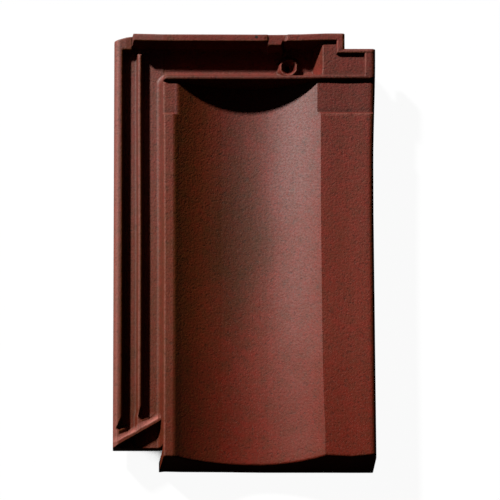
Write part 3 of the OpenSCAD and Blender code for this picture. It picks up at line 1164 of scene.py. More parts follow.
class TileGrid:
    """The grid of lines that both faces of the tile share, and the cells that hold clay."""

    def __init__(self, across: Array, along: Array) -> None:
        """Lays the lines out.

        Args:
            across: Places of the lines across the tile.
            along: Places of the lines along the tile.
        """
        self.across = across
        self.along = along
        self.x, self.y = np.meshgrid(across, along)
        self.cells = np.ones((len(along) - 1, len(across) - 1), dtype=bool)

    @staticmethod
    def lines(fixed: Array, wanted: Array, widest: float, closest: float) -> Array:
        """Merges line places and fills the gaps between them evenly.

        Args:
            fixed: Lines that stay where they are.
            wanted: Lines that are dropped where they crowd another.
            widest: Largest gap that may stay.
            closest: Smallest gap that may stay.

        Returns:
            The sorted line places.
        """
        fixed = np.sort(fixed)
        inside = wanted[(wanted > fixed[0]) & (wanted < fixed[-1])]
        clear = np.abs(inside[:, None] - fixed[None, :]).min(axis=1) > closest
        kept: list[float] = []
        for place in np.sort(inside[clear]):
            if not kept or place - kept[-1] > closest:
                kept.append(float(place))
        merged = np.sort(np.concatenate([fixed, kept]))
        counts = np.ceil(np.diff(merged) / widest).astype(int)
        spans = [
            np.linspace(start, end, count, endpoint=False)
            for start, end, count in zip(merged, merged[1:], counts)
        ]
        return np.concatenate([*spans, merged[-1:]])

    def leave_out(self, x0: float, y0: float, x1: float, y1: float) -> None:
        """Marks the cells inside a rectangle as empty.

        Args:
            x0: Left side.
            y0: Front side.
            x1: Right side.
            y1: Back side.
        """
        middle_x = (self.across[1:] + self.across[:-1]) / 2.0
        middle_y = (self.along[1:] + self.along[:-1]) / 2.0
        hit_x = (middle_x > x0) & (middle_x < x1)
        hit_y = (middle_y > y0) & (middle_y < y1)
        self.cells &= ~(hit_y[:, None] & hit_x[None, :])

    def numbers(self) -> npt.NDArray[np.int64]:
        """Running number of each crossing of two lines."""
        return np.arange(self.x.size).reshape(self.x.shape)

    def faces(self) -> npt.NDArray[np.int64]:
        """Corner numbers of each clay cell, counted anticlockwise from above.

        Returns:
            One cell a row.
        """
        n = self.numbers()
        quads = np.stack([n[:-1, :-1], n[:-1, 1:], n[1:, 1:], n[1:, :-1]], axis=-1)
        return quads[self.cells]

    def border(self) -> npt.NDArray[np.int64]:
        """Directed edges along the outline, as the clay cells run through them.

        Returns:
            The two end numbers of each edge, one edge a row.
        """
        n = self.numbers()
        clay = np.pad(self.cells, 1)
        here = clay[1:-1, 1:-1]
        sides = (
            (clay[:-2, 1:-1], n[:-1, :-1], n[:-1, 1:]),
            (clay[1:-1, 2:], n[:-1, 1:], n[1:, 1:]),
            (clay[2:, 1:-1], n[1:, 1:], n[1:, :-1]),
            (clay[1:-1, :-2], n[1:, :-1], n[:-1, :-1]),
        )
        return np.concatenate(
            [np.stack([start[here & ~other], end[here & ~other]], axis=-1) for other, start, end in sides]
        )


class NodeSheet:
    """A node tree, with short ways to add the nodes that the finishes need."""

    def __init__(self, tree: bpy.types.NodeTree) -> None:
        """Keeps the tree that the nodes go into."""
        self.tree = tree

    def add(self, kind: str, **fields: str) -> bpy.types.Node:
        """Adds a node.

        Args:
            kind: The node's type.
            fields: Values of its fields, by name.

        Returns:
            The new node.
        """
        node = self.tree.nodes.new(kind)
        for name, value in fields.items():
            setattr(node, name, value)
        return node

    def feed(self, socket: Socket, value: Feed) -> None:
        """Links a socket to an output, or sets it to a plain value.

        Args:
            socket: The input.
            value: The output or the value.
        """
        if isinstance(value, Socket):
            self.tree.links.new(value, socket)
        else:
            socket.default_value = value

    def math(self, operation: str, first: Feed, second: Feed) -> Socket:
        """Result of a sum, product or the like.

        Args:
            operation: What is done.
            first: One value.
            second: The other value.

        Returns:
            The result.
        """
        node = self.add("ShaderNodeMath", operation=operation)
        self.feed(node.inputs[0], first)
        self.feed(node.inputs[1], second)
        return node.outputs[0]

    def times(self, first: Feed, *others: Feed) -> Feed:
        """Product of values, one after another.

        Args:
            first: The first value.
            others: The values that it is multiplied by.

        Returns:
            The product.
        """
        for other in others:
            first = self.math("MULTIPLY", first, other)
        return first

    def noise(self, place: Socket, scale: Feed, detail: float) -> Socket:
        """Soft noise around one half.

        Args:
            place: Where it is read.
            scale: Grains a metre.
            detail: Number of finer layers.

        Returns:
            The noise.
        """
        node = self.add("ShaderNodeTexNoise")
        self.feed(node.inputs["Vector"], place)
        self.feed(node.inputs["Scale"], scale)
        node.inputs["Detail"].default_value = detail
        return node.outputs["Fac"]

    def spread(self, value: Feed, low: Feed, high: Feed, start: float = 0.0, end: float = 1.0) -> Socket:
        """Runs smoothly from the start to the end while a value goes from low to high.

        Args:
            value: The value.
            low: Value at the start.
            high: Value at the end.
            start: Result up to low.
            end: Result from high on.

        Returns:
            The result.
        """
        node = self.add("ShaderNodeMapRange", interpolation_type="SMOOTHSTEP")
        feeds = {"Value": value, "From Min": low, "From Max": high, "To Min": start, "To Max": end}
        for name, feed in feeds.items():
            self.feed(node.inputs[name], feed)
        return node.outputs["Result"]

    def band(self, value: Feed, rise: Ramp, fall: Ramp) -> Feed:
        """A stretch of a value between a smooth rise and a smooth fall."""
        return self.times(self.spread(value, *rise), self.spread(value, *fall))

    def blend(self, share: Feed, first: Feed, second: Feed, way: str = "MIX") -> Socket:
        """Mixes two colours.

        Args:
            share: How far the second counts.
            first: The colour below.
            second: The colour laid on it.
            way: How they are mixed.

        Returns:
            The mixed colour.
        """
        node = self.add("ShaderNodeMix", data_type="RGBA", blend_type=way)
        self.feed(node.inputs["Factor"], share)
        colours = [socket for socket in node.inputs if socket.type == "RGBA"]
        self.feed(colours[0], first)
        self.feed(colours[1], second)
        return [socket for socket in node.outputs if socket.type == "RGBA"][0]

    def tint(self, share: Feed, first: Feed, second: Feed) -> Socket:
        """Multiplies a colour by another, as far as a share goes."""
        return self.blend(share, first, second, "MULTIPLY")

    def stretched(self, place: Socket, scale: Vector3, centre: Vector3 = (0.0, 0.0, 0.0)) -> Socket:
        """Places measured from a centre and stretched along each axis.

        Args:
            place: The places.
            scale: Stretch of each axis.
            centre: The place that becomes the middle.

        Returns:
            The new places.
        """
        moved = self.add("ShaderNodeVectorMath", operation="SUBTRACT")
        self.feed(moved.inputs[0], place)
        moved.inputs[1].default_value = centre
        node = self.add("ShaderNodeVectorMath", operation="MULTIPLY")
        self.feed(node.inputs[0], moved.outputs["Vector"])
        node.inputs[1].default_value = scale
        return node.outputs["Vector"]

    def length(self, place: Socket) -> Socket:
        """Distance of a place from the middle.

        Args:
            place: The place.

        Returns:
            The distance.
        """
        node = self.add("ShaderNodeVectorMath", operation="LENGTH")
        self.feed(node.inputs[0], place)
        return node.outputs["Value"]

    def attribute(self, name: str) -> Socket:
        """Value that the mesh carries under a name."""
        return self.add("ShaderNodeAttribute", attribute_name=name).outputs["Fac"]


def shader_group(
    name: str, inputs: dict[str, str], outputs: dict[str, str]
) -> tuple[NodeSheet, bpy.types.Node, bpy.types.Node]:
    """Starts a shader node group with named sockets.

    Args:
        name: Name of the group.
        inputs: Socket kind of each input, by its name.
        outputs: Socket kind of each output, by its name.

    Returns:
        The group's sheet, its input node and its output node.
    """
    tree = bpy.data.node_groups.new(name, "ShaderNodeTree")
    for label, kind in inputs.items():
        tree.interface.new_socket(label, in_out="INPUT", socket_type=kind)
    for label, kind in outputs.items():
        tree.interface.new_socket(label, in_out="OUTPUT", socket_type=kind)
    sheet = NodeSheet(tree)
    return sheet, sheet.add("NodeGroupInput"), sheet.add("NodeGroupOutput")


class Surface(NamedTuple):
    """Node outputs that several layers of the finish read."""

    place: Socket
    x: Socket
    y: Socket
    z: Socket
    along: Socket
    cloud: Socket
    mottle: Socket
    fleck: Socket
    pits: Socket
    dust: Socket
    specks: Socket
    dam: Feed
    turned_from_light: Socket
    bare: Socket


@dataclass(frozen=True)
class FiredClay:
    """The tile's finish: a dark red-brown slip, fired unevenly, with a satin skin, and with painted shade
    and highlights.

    The tones come first, then where and how strongly each layer shows. Places are in metres.
    """

    name: str = "fired_clay_slip"
    head_tone: Colour = (0.163, 0.0185, 0.011, 1.0)
    body_tone: Colour = (0.173, 0.0175, 0.0075, 1.0)
    eave_tone: Colour = (0.148, 0.0095, 0.0025, 1.0)
    left_tone: Colour = (1.0, 1.5, 1.5, 1.0)
    left_low_tone: Colour = (0.8, 1.4, 1.3, 1.0)
    # Painted highlight: paler colour on faces turned to the key light.
    painted_highlight_tone: Colour = (0.48, 0.165, 0.135, 1.0)
    fleck_tone: Colour = (0.6, 0.58, 0.58, 1.0)
    rust_tone: Colour = (1.1, 0.9, 0.95, 1.0)
    ochre_tone: Colour = (0.9, 1.08, 1.0, 1.0)
    speck_tone: Colour = (0.72, 0.76, 0.76, 1.0)
    lap_tone: Colour = (0.82, 0.8, 0.8, 1.0)
    smoke_tone: Colour = (0.085, 0.017, 0.004, 1.0)
    edge_tone: Colour = (0.23, 0.07, 0.05, 1.0)
    grit_tone: Colour = (0.24, 0.08, 0.055, 1.0)
    # Dark pits of the slip, and painted shade in inward bends.
    pit_and_crease_shade_tone: Colour = (0.45, 0.4, 0.4, 1.0)
    bare_tone: Colour = (0.4, 0.12, 0.055, 1.0)
    kiln_tone: Colour = (0.25, 0.06, 0.03, 1.0)
    # Painted shade, and its hue, on sides turned away from the key light.
    painted_shade_tone: Colour = (0.1, 0.1, 0.0, 1.0)
    shade_hue_tone: Colour = (1.0, 1.15, 0.15, 1.0)
    # Painted shade: a dark spot that stands in for the shade inside a pinhole on the rim.
    pinhole_shade_tone: Colour = (0.02, 0.02, 0.02, 1.0)
    gloss_tone: Colour = (1.0, 0.92, 0.7, 1.0)
    cloud: Grain = Grain(14.0, 3.0)
    drift: float = 0.16
    head_run: Ramp = Ramp(-0.02, 0.16)
    eave_run: Ramp = Ramp(-0.05, -0.21)
    patch_stretch: Vector3 = (28.0, 9.0, 0.0)
    patch_centre: Vector3 = (-0.006, 0.02, 0.0)
    patch_wander: float = 1.2
    patch_run: Ramp = Ramp(1.35, 0.35, 0.0, 0.9)
    mottle: Grain = Grain(70.0, 4.0)
    mottle_run: Ramp = Ramp(0.42, 0.75, 0.0, 0.3)
    streak: Grain = Grain(260.0, 2.0)
    streak_stretch: Vector3 = (1.0, 0.05, 1.0)
    streak_run: Ramp = Ramp(0.5, 0.8, 0.0, 0.22)
    left_run: Ramp = Ramp(-0.045, -0.08)
    left_low_run: Ramp = Ramp(0.15, -0.12)
    lap_rise: Ramp = Ramp(0.137, 0.142)
    lap_fall: Ramp = Ramp(0.212, 0.206)
    lap_across: Ramp = Ramp(0.0, 0.03)
    lap_height: Ramp = Ramp(0.0385, 0.0395)
    dam_rise: Ramp = Ramp(0.174, 0.1755)
    dam_fall: Ramp = Ramp(0.184, 0.182)
    fleck: Grain = Grain(520.0, 2.0)
    fleck_run: Ramp = Ramp(0.3, 0.7, 0.0, 0.4)
    blotch: Grain = Grain(110.0, 3.0)
    rust_run: Ramp = Ramp(0.5, 0.66)
    ochre_run: Ramp = Ramp(0.5, 0.34)
    grit_level: float = 0.6
    grit_width: float = 0.1
    grit_detail: float = 1.0
    pit_grains: float = 620.0
    dust_grains: float = 900.0
    speck_grains: float = 290.0
    pit_share: float = 0.4
    dust_share: float = 0.3
    edge_run: Ramp = Ramp(0.5, 1.0, 0.0, 0.5)
    wear: Grain = Grain(160.0, 3.0)
    wear_run: Ramp = Ramp(0.25, 0.6)
    dam_wear: Ramp = Ramp(0.0, 1.0, 1.0, 0.3)
    highlight_share: float = 0.62
    crease_shade_run: Ramp = Ramp(0.1, 0.9, 0.0, 0.5)
    shade_hue_run: Ramp = Ramp(0.05, 0.4)
    # Plane, place and size of the painted pinhole shade.
    pinhole_shade_plan: Vector3 = (1.0, 1.0, 0.0)
    pinhole_shade_centre: Vector3 = (0.0121, 0.2197, 0.0)
    pinhole_shade_run: Ramp = Ramp(0.0019, 0.0012)
    bare_run: Ramp = Ramp(0.05, 0.5)
    kiln_run: Ramp = Ramp(0.35, 0.65)
    kiln_mottle: Ramp = Ramp(0.4, 0.7, 0.0, 0.5)
    gloss: float = 0.2
    rough: float = 0.6
    bare_rough: float = 0.95
    lee_matt: Ramp = Ramp(0.1, 0.4)
    coat_index: float = 1.65
    glaze_run: Ramp = Ramp(-0.3, 0.22)
    lee_glaze: Ramp = Ramp(0.3, 0.0)
    shine: Grain = Grain(560.0, 2.0)
    shine_run: Ramp = Ramp(0.3, 0.7, 0.7, 1.3)
    peel: Grain = Grain(420.0, 1.0)
    grain: Grain = Grain(1100.0, 1.0)
    grain_share: float = 0.5
    drag: Grain = Grain(380.0, 1.0)
    drag_stretch: Vector3 = (1.0, 0.06, 1.0)
    drag_share: float = 0.25
    pit_depth: float = 0.5
    speck_depth: float = 0.25
    relief_run: Ramp = Ramp(-0.2, 0.2, 1.0, 2.0)
    bump_strength: float = 0.6
    bump_distance: float = 0.0004

    def grit_group(self) -> bpy.types.NodeTree:
        """Specks of the slip: where a fine noise passes a level.

        Returns:
            The group, with the places, the grains a metre and the level as inputs.
        """
        sheet, start, end = shader_group(
            "slip_grit",
            {"Place": "NodeSocketVector", "Grains": "NodeSocketFloat", "Level": "NodeSocketFloat"},
            {"Mask": "NodeSocketFloat"},
        )
        noise = sheet.noise(start.outputs["Place"], start.outputs["Grains"], self.grit_detail)
        full = sheet.math("ADD", start.outputs["Level"], self.grit_width)
        sheet.feed(end.inputs["Mask"], sheet.spread(noise, start.outputs["Level"], full))
        return sheet.tree

    def skin_group(self) -> bpy.types.NodeTree:
        """Relief of the slip: an orange-peel skin over finer grain and faint drag marks.

        Returns:
            The group, with the places as its input and the relief as its output.
        """
        sheet, start, end = shader_group(
            "slip_skin", {"Place": "NodeSocketVector"}, {"Relief": "NodeSocketFloat"}
        )
        place = start.outputs["Place"]
        peel = sheet.noise(place, *self.peel)
        grain = sheet.times(sheet.noise(place, *self.grain), self.grain_share)
        drag = sheet.noise(sheet.stretched(place, self.drag_stretch), *self.drag)
        fine = sheet.math("ADD", grain, sheet.times(drag, self.drag_share))
        sheet.feed(end.inputs["Relief"], sheet.math("ADD", peel, fine))
        return sheet.tree

    def grit(self, sheet: NodeSheet, group: bpy.types.NodeTree, place: Socket, grains: float) -> Socket:
        """Mask of specks of one size.

        Args:
            sheet: The node tree that it is for.
            group: The grit group.
            place: Where it is read.
            grains: Grains a metre.

        Returns:
            The mask, 1 on the specks.
        """
        node = sheet.add("ShaderNodeGroup", node_tree=group)
        node.inputs["Grains"].default_value = grains
        node.inputs["Level"].default_value = self.grit_level
        sheet.feed(node.inputs["Place"], place)
        return node.outputs["Mask"]

    def wander(self, sheet: NodeSheet, value: Feed, cloud: Socket, reach: float) -> Socket:
        """Shifts a value to and fro with the soft clouds of the firing."""
        shift = sheet.times(sheet.math("SUBTRACT", cloud, NOISE_MIDDLE), reach)
        return sheet.math("ADD", value, shift)

    def surface(self, sheet: NodeSheet) -> Surface:
        """Adds the noises, masks and places that the layers share.

        Args:
            sheet: The material's node tree.

        Returns:
            Their outputs.
        """
        place = sheet.add("ShaderNodeTexCoord").outputs["Object"]
        axes = sheet.add("ShaderNodeSeparateXYZ")
        sheet.feed(axes.inputs[0], place)
        x, y, z = axes.outputs
        cloud = sheet.noise(place, *self.cloud)
        group = self.grit_group()
        pits, dust, specks = [
            self.grit(sheet, group, place, grains)
            for grains in (self.pit_grains, self.dust_grains, self.speck_grains)
        ]
        return Surface(
            place=place,
            x=x,
            y=y,
            z=z,
            along=self.wander(sheet, y, cloud, self.drift),
            cloud=cloud,
            mottle=sheet.noise(place, *self.mottle),
            fleck=sheet.spread(sheet.noise(place, *self.fleck), *self.fleck_run),
            pits=pits,
            dust=dust,
            specks=specks,
            dam=sheet.band(y, self.dam_rise, self.dam_fall),
            turned_from_light=sheet.attribute("turned_from_light"),
            bare=sheet.spread(sheet.attribute("bare"), *self.bare_run),
        )

    def fired_tone(self, sheet: NodeSheet, at: Surface) -> Socket:
        """Tone of the firing: greyish at the head, red at the eave, smoky in the pan.

        The left side is browner, and the surfaces that a next tile laps over are darker.

        Args:
            sheet: The material's node tree.
            at: The shared outputs.

        Returns:
            The colour.
        """
        tone = sheet.blend(sheet.spread(at.along, *self.head_run), self.body_tone, self.head_tone)
        tone = sheet.blend(sheet.spread(at.along, *self.eave_run), tone, self.eave_tone)
        patch = sheet.length(sheet.stretched(at.place, self.patch_stretch, self.patch_centre))
        patch = self.wander(sheet, patch, at.cloud, self.patch_wander)
        streak = sheet.noise(sheet.stretched(at.place, self.streak_stretch), *self.streak)
        smoke = ((patch, self.patch_run), (at.mottle, self.mottle_run), (streak, self.streak_run))
        for value, ramp in smoke:
            tone = sheet.blend(sheet.spread(value, *ramp), tone, self.smoke_tone)
        low = sheet.spread(at.along, *self.left_low_run)
        left_tone = sheet.blend(low, self.left_tone, self.left_low_tone)
        tone = sheet.tint(sheet.spread(at.x, *self.left_run), tone, left_tone)
        lap = sheet.times(
            sheet.band(at.y, self.lap_rise, self.lap_fall),
            sheet.math("MAXIMUM", at.dam, sheet.spread(at.x, *self.lap_across)),
            sheet.spread(at.z, *self.lap_height),
        )
        tone = sheet.tint(lap, tone, self.lap_tone)
        return sheet.tint(sheet.times(at.dam, lap), tone, self.lap_tone)

    def marked_tone(self, sheet: NodeSheet, at: Surface, tone: Socket) -> Socket:
        """Lays the small marks on the tone.

        Flecks and blotches come first, then worn edges, the painted highlight on faces turned to the key
        light, dust, pits and specks.

        Args:
            sheet: The material's node tree.
            at: The shared outputs.
            tone: The colour below.

        Returns:
            The colour.
        """
        tone = sheet.tint(at.fleck, tone, self.fleck_tone)
        blotch = sheet.noise(at.place, *self.blotch)
        tone = sheet.tint(sheet.spread(blotch, *self.rust_run), tone, self.rust_tone)
        tone = sheet.tint(sheet.spread(blotch, *self.ochre_run), tone, self.ochre_tone)
        worn = sheet.times(
            sheet.spread(sheet.attribute("edge"), *self.edge_run),
            sheet.spread(sheet.noise(at.place, *self.wear), *self.wear_run),
            sheet.spread(at.dam, *self.dam_wear),
        )
        tone = sheet.blend(worn, tone, self.edge_tone)
        # Painted highlight: the outer rib's outer shoulder and the stop's slope, which face the key light,
        # are made paler.
        tone = sheet.blend(sheet.times(sheet.attribute("painted_highlight"), self.highlight_share), tone, self.painted_highlight_tone)
        tone = sheet.blend(sheet.times(at.dust, self.dust_share), tone, self.grit_tone)
        tone = sheet.tint(sheet.times(at.pits, self.pit_share), tone, self.pit_and_crease_shade_tone)
        return sheet.tint(at.specks, tone, self.speck_tone)

    def shaded_tone(self, sheet: NodeSheet, at: Surface, tone: Socket) -> Socket:
        """Paints shade into the colour: darker inward bends at the feet, darker sides turned away from the
        key light, and a dark spot for a pinhole's shade; also shows uneven bare clay underneath.

        Args:
            sheet: The material's node tree.
            at: The shared outputs.
            tone: The colour below.

        Returns:
            The colour.
        """
        # Painted shade: inward bends, such as the feet of walls and ribs, are darkened.
        tone = sheet.tint(sheet.spread(sheet.attribute("hollow"), *self.crease_shade_run), tone, self.pit_and_crease_shade_tone)
        # Painted shade: sides turned to the right or the front, away from the key light, are darkened and
        # lose their blue.
        tone = sheet.tint(at.turned_from_light, tone, self.painted_shade_tone)
        tone = sheet.tint(sheet.spread(at.turned_from_light, *self.shade_hue_run), tone, self.shade_hue_tone)
        # Painted shade: a dark spot on the rim stands in for the shade inside a pinhole.
        pinhole_shade = sheet.length(sheet.stretched(at.place, self.pinhole_shade_plan, self.pinhole_shade_centre))
        tone = sheet.tint(sheet.spread(pinhole_shade, *self.pinhole_shade_run), tone, self.pinhole_shade_tone)
        raw = sheet.blend(sheet.spread(at.cloud, *self.kiln_run), self.bare_tone, self.kiln_tone)
        raw = sheet.blend(sheet.spread(at.mottle, *self.kiln_mottle), raw, self.kiln_tone)
        raw = sheet.tint(at.fleck, raw, self.fleck_tone)
        raw = sheet.tint(at.specks, raw, self.speck_tone)
        return sheet.blend(at.bare, tone, raw)

    def polish(self, sheet: NodeSheet, at: Surface, shader: bpy.types.Node) -> None:
        """Sets the sheen: matt on bare clay and on sides turned from the light, shinier towards the head.

        Args:
            sheet: The material's node tree.
            at: The shared outputs.
            shader: The material's shader node.
        """
        matt = sheet.math("MAXIMUM", at.bare, sheet.spread(at.turned_from_light, *self.lee_matt))
        sheet.feed(shader.inputs["Roughness"], sheet.spread(matt, 0.0, 1.0, self.rough, self.bare_rough))
        shader.inputs["Specular IOR Level"].default_value = self.gloss
        shader.inputs["Specular Tint"].default_value = self.gloss_tone
        glaze = sheet.times(
            sheet.spread(at.along, *self.glaze_run),
            sheet.attribute("glaze"),
            sheet.spread(at.turned_from_light, *self.lee_glaze),
            sheet.spread(sheet.noise(at.place, *self.shine), *self.shine_run),
        )
        sheet.feed(shader.inputs["Coat Weight"], glaze)
        shader.inputs["Coat Roughness"].default_value = self.rough
        shader.inputs["Coat IOR"].default_value = self.coat_index

    def roughen(self, sheet: NodeSheet, at: Surface, shader: bpy.types.Node) -> None:
        """Adds the skin's relief with its pits and specks, stronger towards the head.

        Args:
            sheet: The material's node tree.
            at: The shared outputs.
            shader: The material's shader node.
        """
        skin = sheet.add("ShaderNodeGroup", node_tree=self.skin_group())
        sheet.feed(skin.inputs["Place"], at.place)
        pits = sheet.times(at.pits, self.pit_depth)
        holes = sheet.math("ADD", pits, sheet.times(at.specks, self.speck_depth))
        relief = sheet.math("SUBTRACT", skin.outputs["Relief"], holes)
        bump = sheet.add("ShaderNodeBump")
        bump.inputs["Strength"].default_value = self.bump_strength
        bump.inputs["Distance"].default_value = self.bump_distance
        sheet.feed(bump.inputs["Height"], sheet.times(relief, sheet.spread(at.along, *self.relief_run)))
        sheet.feed(shader.inputs["Normal"], bump.outputs["Normal"])

    def material(self) -> bpy.types.Material:
        """Builds the node material, layer by layer.

        Returns:
            The finished material.
        """
        mat = bpy.data.materials.new(self.name)
        mat.use_nodes = True
        sheet = NodeSheet(mat.node_tree)
        shader = mat.node_tree.nodes["Principled BSDF"]
        at = self.surface(sheet)
        tone = self.marked_tone(sheet, at, self.fired_tone(sheet, at))
        sheet.feed(shader.inputs["Base Color"], self.shaded_tone(sheet, at, tone))
        self.polish(sheet, at, shader)
        self.roughen(sheet, at, shader)
        return mat


@dataclass(frozen=True)
class FiringWarp:
    """How drying and firing move the points of the pressed tile."""

    sizes: TileSizes
    bow: Curve = Curve((-10.0, 260.0), (0.0, 2.2))
    bow_end: tuple[float, float] = (310.0, 425.0)
    edge: Curve = Curve((30.0, 95.0, 180.0, 270.0, 390.0), (-1.5, 0.65, 1.75, 2.45, 2.3))
    edge_end: tuple[float, float] = (392.0, 414.0)
    drawn: Curve = Curve((225.0, 375.0), (0.0, 0.8))
    drawn_across: Curve = Curve((2.0, 20.0, 52.0, 75.0), (0.0, 1.0, 1.0, 0.0))
    dip: Curve = Curve((0.0, 20.0, 50.0, 150.0, 190.0, 215.0), (0.0, 0.2, 0.9, 1.2, 0.9, 0.0))
    rise: Curve = Curve((45.0, 52.0, 70.0, 110.0, 150.0, 265.0), (0.9, 1.7, 1.3, 1.1, 0.6, 0.4))
    lip: Curve = Curve((160.0, 212.0, 240.0, 263.0), (0.0, 2.2, 1.0, 3.2))
    lip_end: tuple[float, float] = (4.0, 60.0)

    def moved(self, points: Array) -> Array:
        """Moves points as the tile warps.

        The right edge bows in along the middle of the tile, the pan's right edge wanders, and
        the left land and the lock draw out towards the head. The head's back edge dips, the
        eave draws in, and its upper edge draws in further at the right.

        Args:
            points: Points of the pressed tile, in millimetres.

        Returns:
            The points after firing.
        """
        s = self.sizes
        x, y, z = points.T
        edge = self.edge.at(y) * (1.0 - ease(y, *self.edge_end))
        bow = self.bow.at(y) * (1.0 - ease(y, *self.bow_end))
        x_out = x - edge * np.interp(x, [s.pan_x, s.pan_right, s.width], [0.0, 1.0, 0.0])
        x_out = x_out - bow * np.interp(x, [s.pan_right, s.width], [0.0, 1.0])
        x_out = x_out - self.drawn.at(y) * self.drawn_across.at(x)
        middle = s.length / 2.0
        up = (y - middle) / middle
        y_out = y - self.dip.at(x) * np.clip(up, 0.0, 1.0) + self.rise.at(x) * np.clip(-up, 0.0, 1.0)
        high = np.clip(z / s.land_z, 0.0, 1.0)
        y_out = y_out + self.lip.at(x) * high * (1.0 - ease(y, *self.lip_end))
        return np.stack([x_out, y_out, z], axis=-1)


@dataclass
class RoofTile:
    """The whole tile: one pressed piece of clay with its two faces and the walls between them."""

    sizes: TileSizes
    name: str = "pressed_tile"
    wall_rows: int = 5
    sharp: float = 0.6
    widest_across: float = 5.2
    widest_along: float = 7.0
    closest: float = 0.15
    least_step: float = 1e-6
    cut_width: float = 16.0
    cut_length: float = 4.5
    cut_start: float = 11.0
    outer_draw: Curve = Curve((0.6, 9.2, 14.0, 22.0), (0.0, 1.0, 1.0, 0.0))
    inner_draw: Curve = Curve((24.4, 28.6, 33.0, 40.0), (0.0, 1.0, 1.0, 0.0))
    slant_share: float = 0.03
    slant_end: float = 140.0
    lock_front_round: float = 1.0
    border_pull: float = 5.0
    apron_pull: float = 9.0
    apron_pull_start: float = 13.0
    right_probe: float = 3.0
    setback_margin: float = 4.0
    lock_glaze: float = 0.5
    land_glaze: float = 0.2
    pan_glaze: float = 0.5
    flank_glaze: float = 0.45
    flank_run: float = 50.0
    crease_margin: float = 0.1
    # Where the painted highlight lies on the stop's slope and the outer rib's shoulder, and how strong it
    # is.
    highlight_rise: tuple[float, float] = (1.4, 2.4)
    highlight_fall: tuple[float, float] = (5.5, 8.0)
    highlight_shoulder: tuple[float, float] = (3.6, 6.2)
    highlight_share: float = 0.42
    away_from_light_way: tuple[float, float] = (0.8, -0.6)

    def __post_init__(self) -> None:
        """Sets up the forms that make up the tile."""
        self.lock = SideLock(self.sizes)
        self.body = PanBody(self.sizes)
        self.head = HeadLock(self.sizes)
        self.nail = NailRing(self.sizes)
        self.under = Underside(self.sizes)
        self.warp = FiringWarp(self.sizes)

    def grid(self) -> TileGrid:
        """Lays out the grid, with its lines on the edges of every form.

        Returns:
            The grid, without the notch, the cut-out and the bore.
        """
        s = self.sizes
        nail_x, nail_y = self.nail.middle()
        bore = np.array([-1.0, 1.0]) * self.nail.bore
        left = float(self.lock.face().lines()[0])
        forms = (self.lock, self.body, self.head, self.under)
        sides = [left, self.body.border_x(), s.corner_x, s.width]
        ends = [s.front_run, s.lock_setback, s.corner_back, s.length]
        across = TileGrid.lines(
            np.concatenate([sides, nail_x + bore, self.body.creases()]),
            np.concatenate([*(form.across_lines() for form in forms), nail_x + self.nail.lines()]),
            self.widest_across,
            self.closest,
        )
        along = TileGrid.lines(
            np.concatenate([ends, nail_y + bore]),
            np.concatenate([*(form.along_lines() for form in forms), nail_y + self.nail.lines()]),
            self.widest_along,
            self.closest,
        )
        grid = TileGrid(across, along)
        grid.leave_out(-FAR, -FAR, self.body.border_x(), s.lock_setback)
        grid.leave_out(s.corner_x, s.corner_back, s.width + FAR, s.length + FAR)
        grid.leave_out(nail_x + bore[0], nail_y + bore[0], nail_x + bore[1], nail_y + bore[1])
        return grid

    def corner_cut(self, x: Array, y: Array) -> Array:
        """How far the slanting cut at the head's left corner pulls the grid forward.

        Args:
            x: Places across the tile.
            y: Places along the tile.

        Returns:
            The pull, most in the corner and none away from it.
        """
        s = self.sizes
        share = ease(y, s.length - self.cut_start, s.length - s.top_round)
        return self.cut_length * np.clip(1.0 - x / self.cut_width, 0.0, 1.0) * share

    def from_back(self, x: Array, y: Array) -> Array:
        """Distance from the head's back edge, with the corner cut."""
        return self.sizes.length - y - self.corner_cut(x, np.full_like(x, self.sizes.length))

    def top_points(self, grid: TileGrid) -> Array:
        """Points of the upper face.

        In the lock, the lines slant with the rib that ends it and draw in where the ribs
        narrow. At the front, they lean with the apron's face. Around the nail they are round.

        Args:
            grid: The tile's grid.

        Returns:
            One point a row, in millimetres.
        """
        s = self.sizes
        lock = self.lock
        x, row = grid.x, grid.y
        clear = lock.clearing(row) * (row > s.lock_setback)
        x = x - clear * (lock.outer_clear * self.outer_draw.at(x) + lock.inner_clear * self.inner_draw.at(x))
        foot = lock.stop_rows()[0]
        share = np.interp(
            row,
            [s.lock_setback, (s.lock_setback + foot) / 2.0, foot, lock.clear_row(), self.slant_end],
            [0.0, self.slant_share, 1.0, 1.0, 0.0],
        )
        fade = np.interp(x, [s.wall_top, s.pan_x], [1.0, 0.0])
        y = row + lock.slant(x) * share * fade - self.corner_cut(x, row)
        x, y = self.nail.rounded_grid(x, y, self.nail.top_round)
        z = self.top_heights(x, y, row - s.front_run)
        lean = s.front_run * (1.0 - z / s.land_z) * (1.0 - ease(row, s.front_run, s.lock_setback))
        return np.stack([x, y - lean, z], axis=-1).reshape(-1, 3)

    def top_heights(self, x: Array, y: Array, from_front: Array) -> Array:
        """Heights of the upper face: the highest of its forms, with rounded outer edges.

        Args:
            x: Places across the tile.
            y: Places along the tile.
            from_front: Distances from the apron's upper edge.

        Returns:
            The heights.
        """
        s = self.sizes
        z = self.body.heights(x, y, from_front)
        wall = self.body.outside(x, y) - (s.dam_z - s.rib_z) * s.wall_lean
        z = np.maximum(z, self.lock.heights(x, y, wall))
        z = np.maximum(z, self.head.heights(x, y))
        z = np.maximum(z, self.nail.heights(x, y))
        lock_front = (x < s.wall_foot) & (y < s.length / 2.0)
        z = z - edge_drop(y - s.lock_setback, self.lock_front_round) * lock_front
        return z - edge_drop(self.from_back(x, y), s.top_round) * (x <= self.head.rim_left)

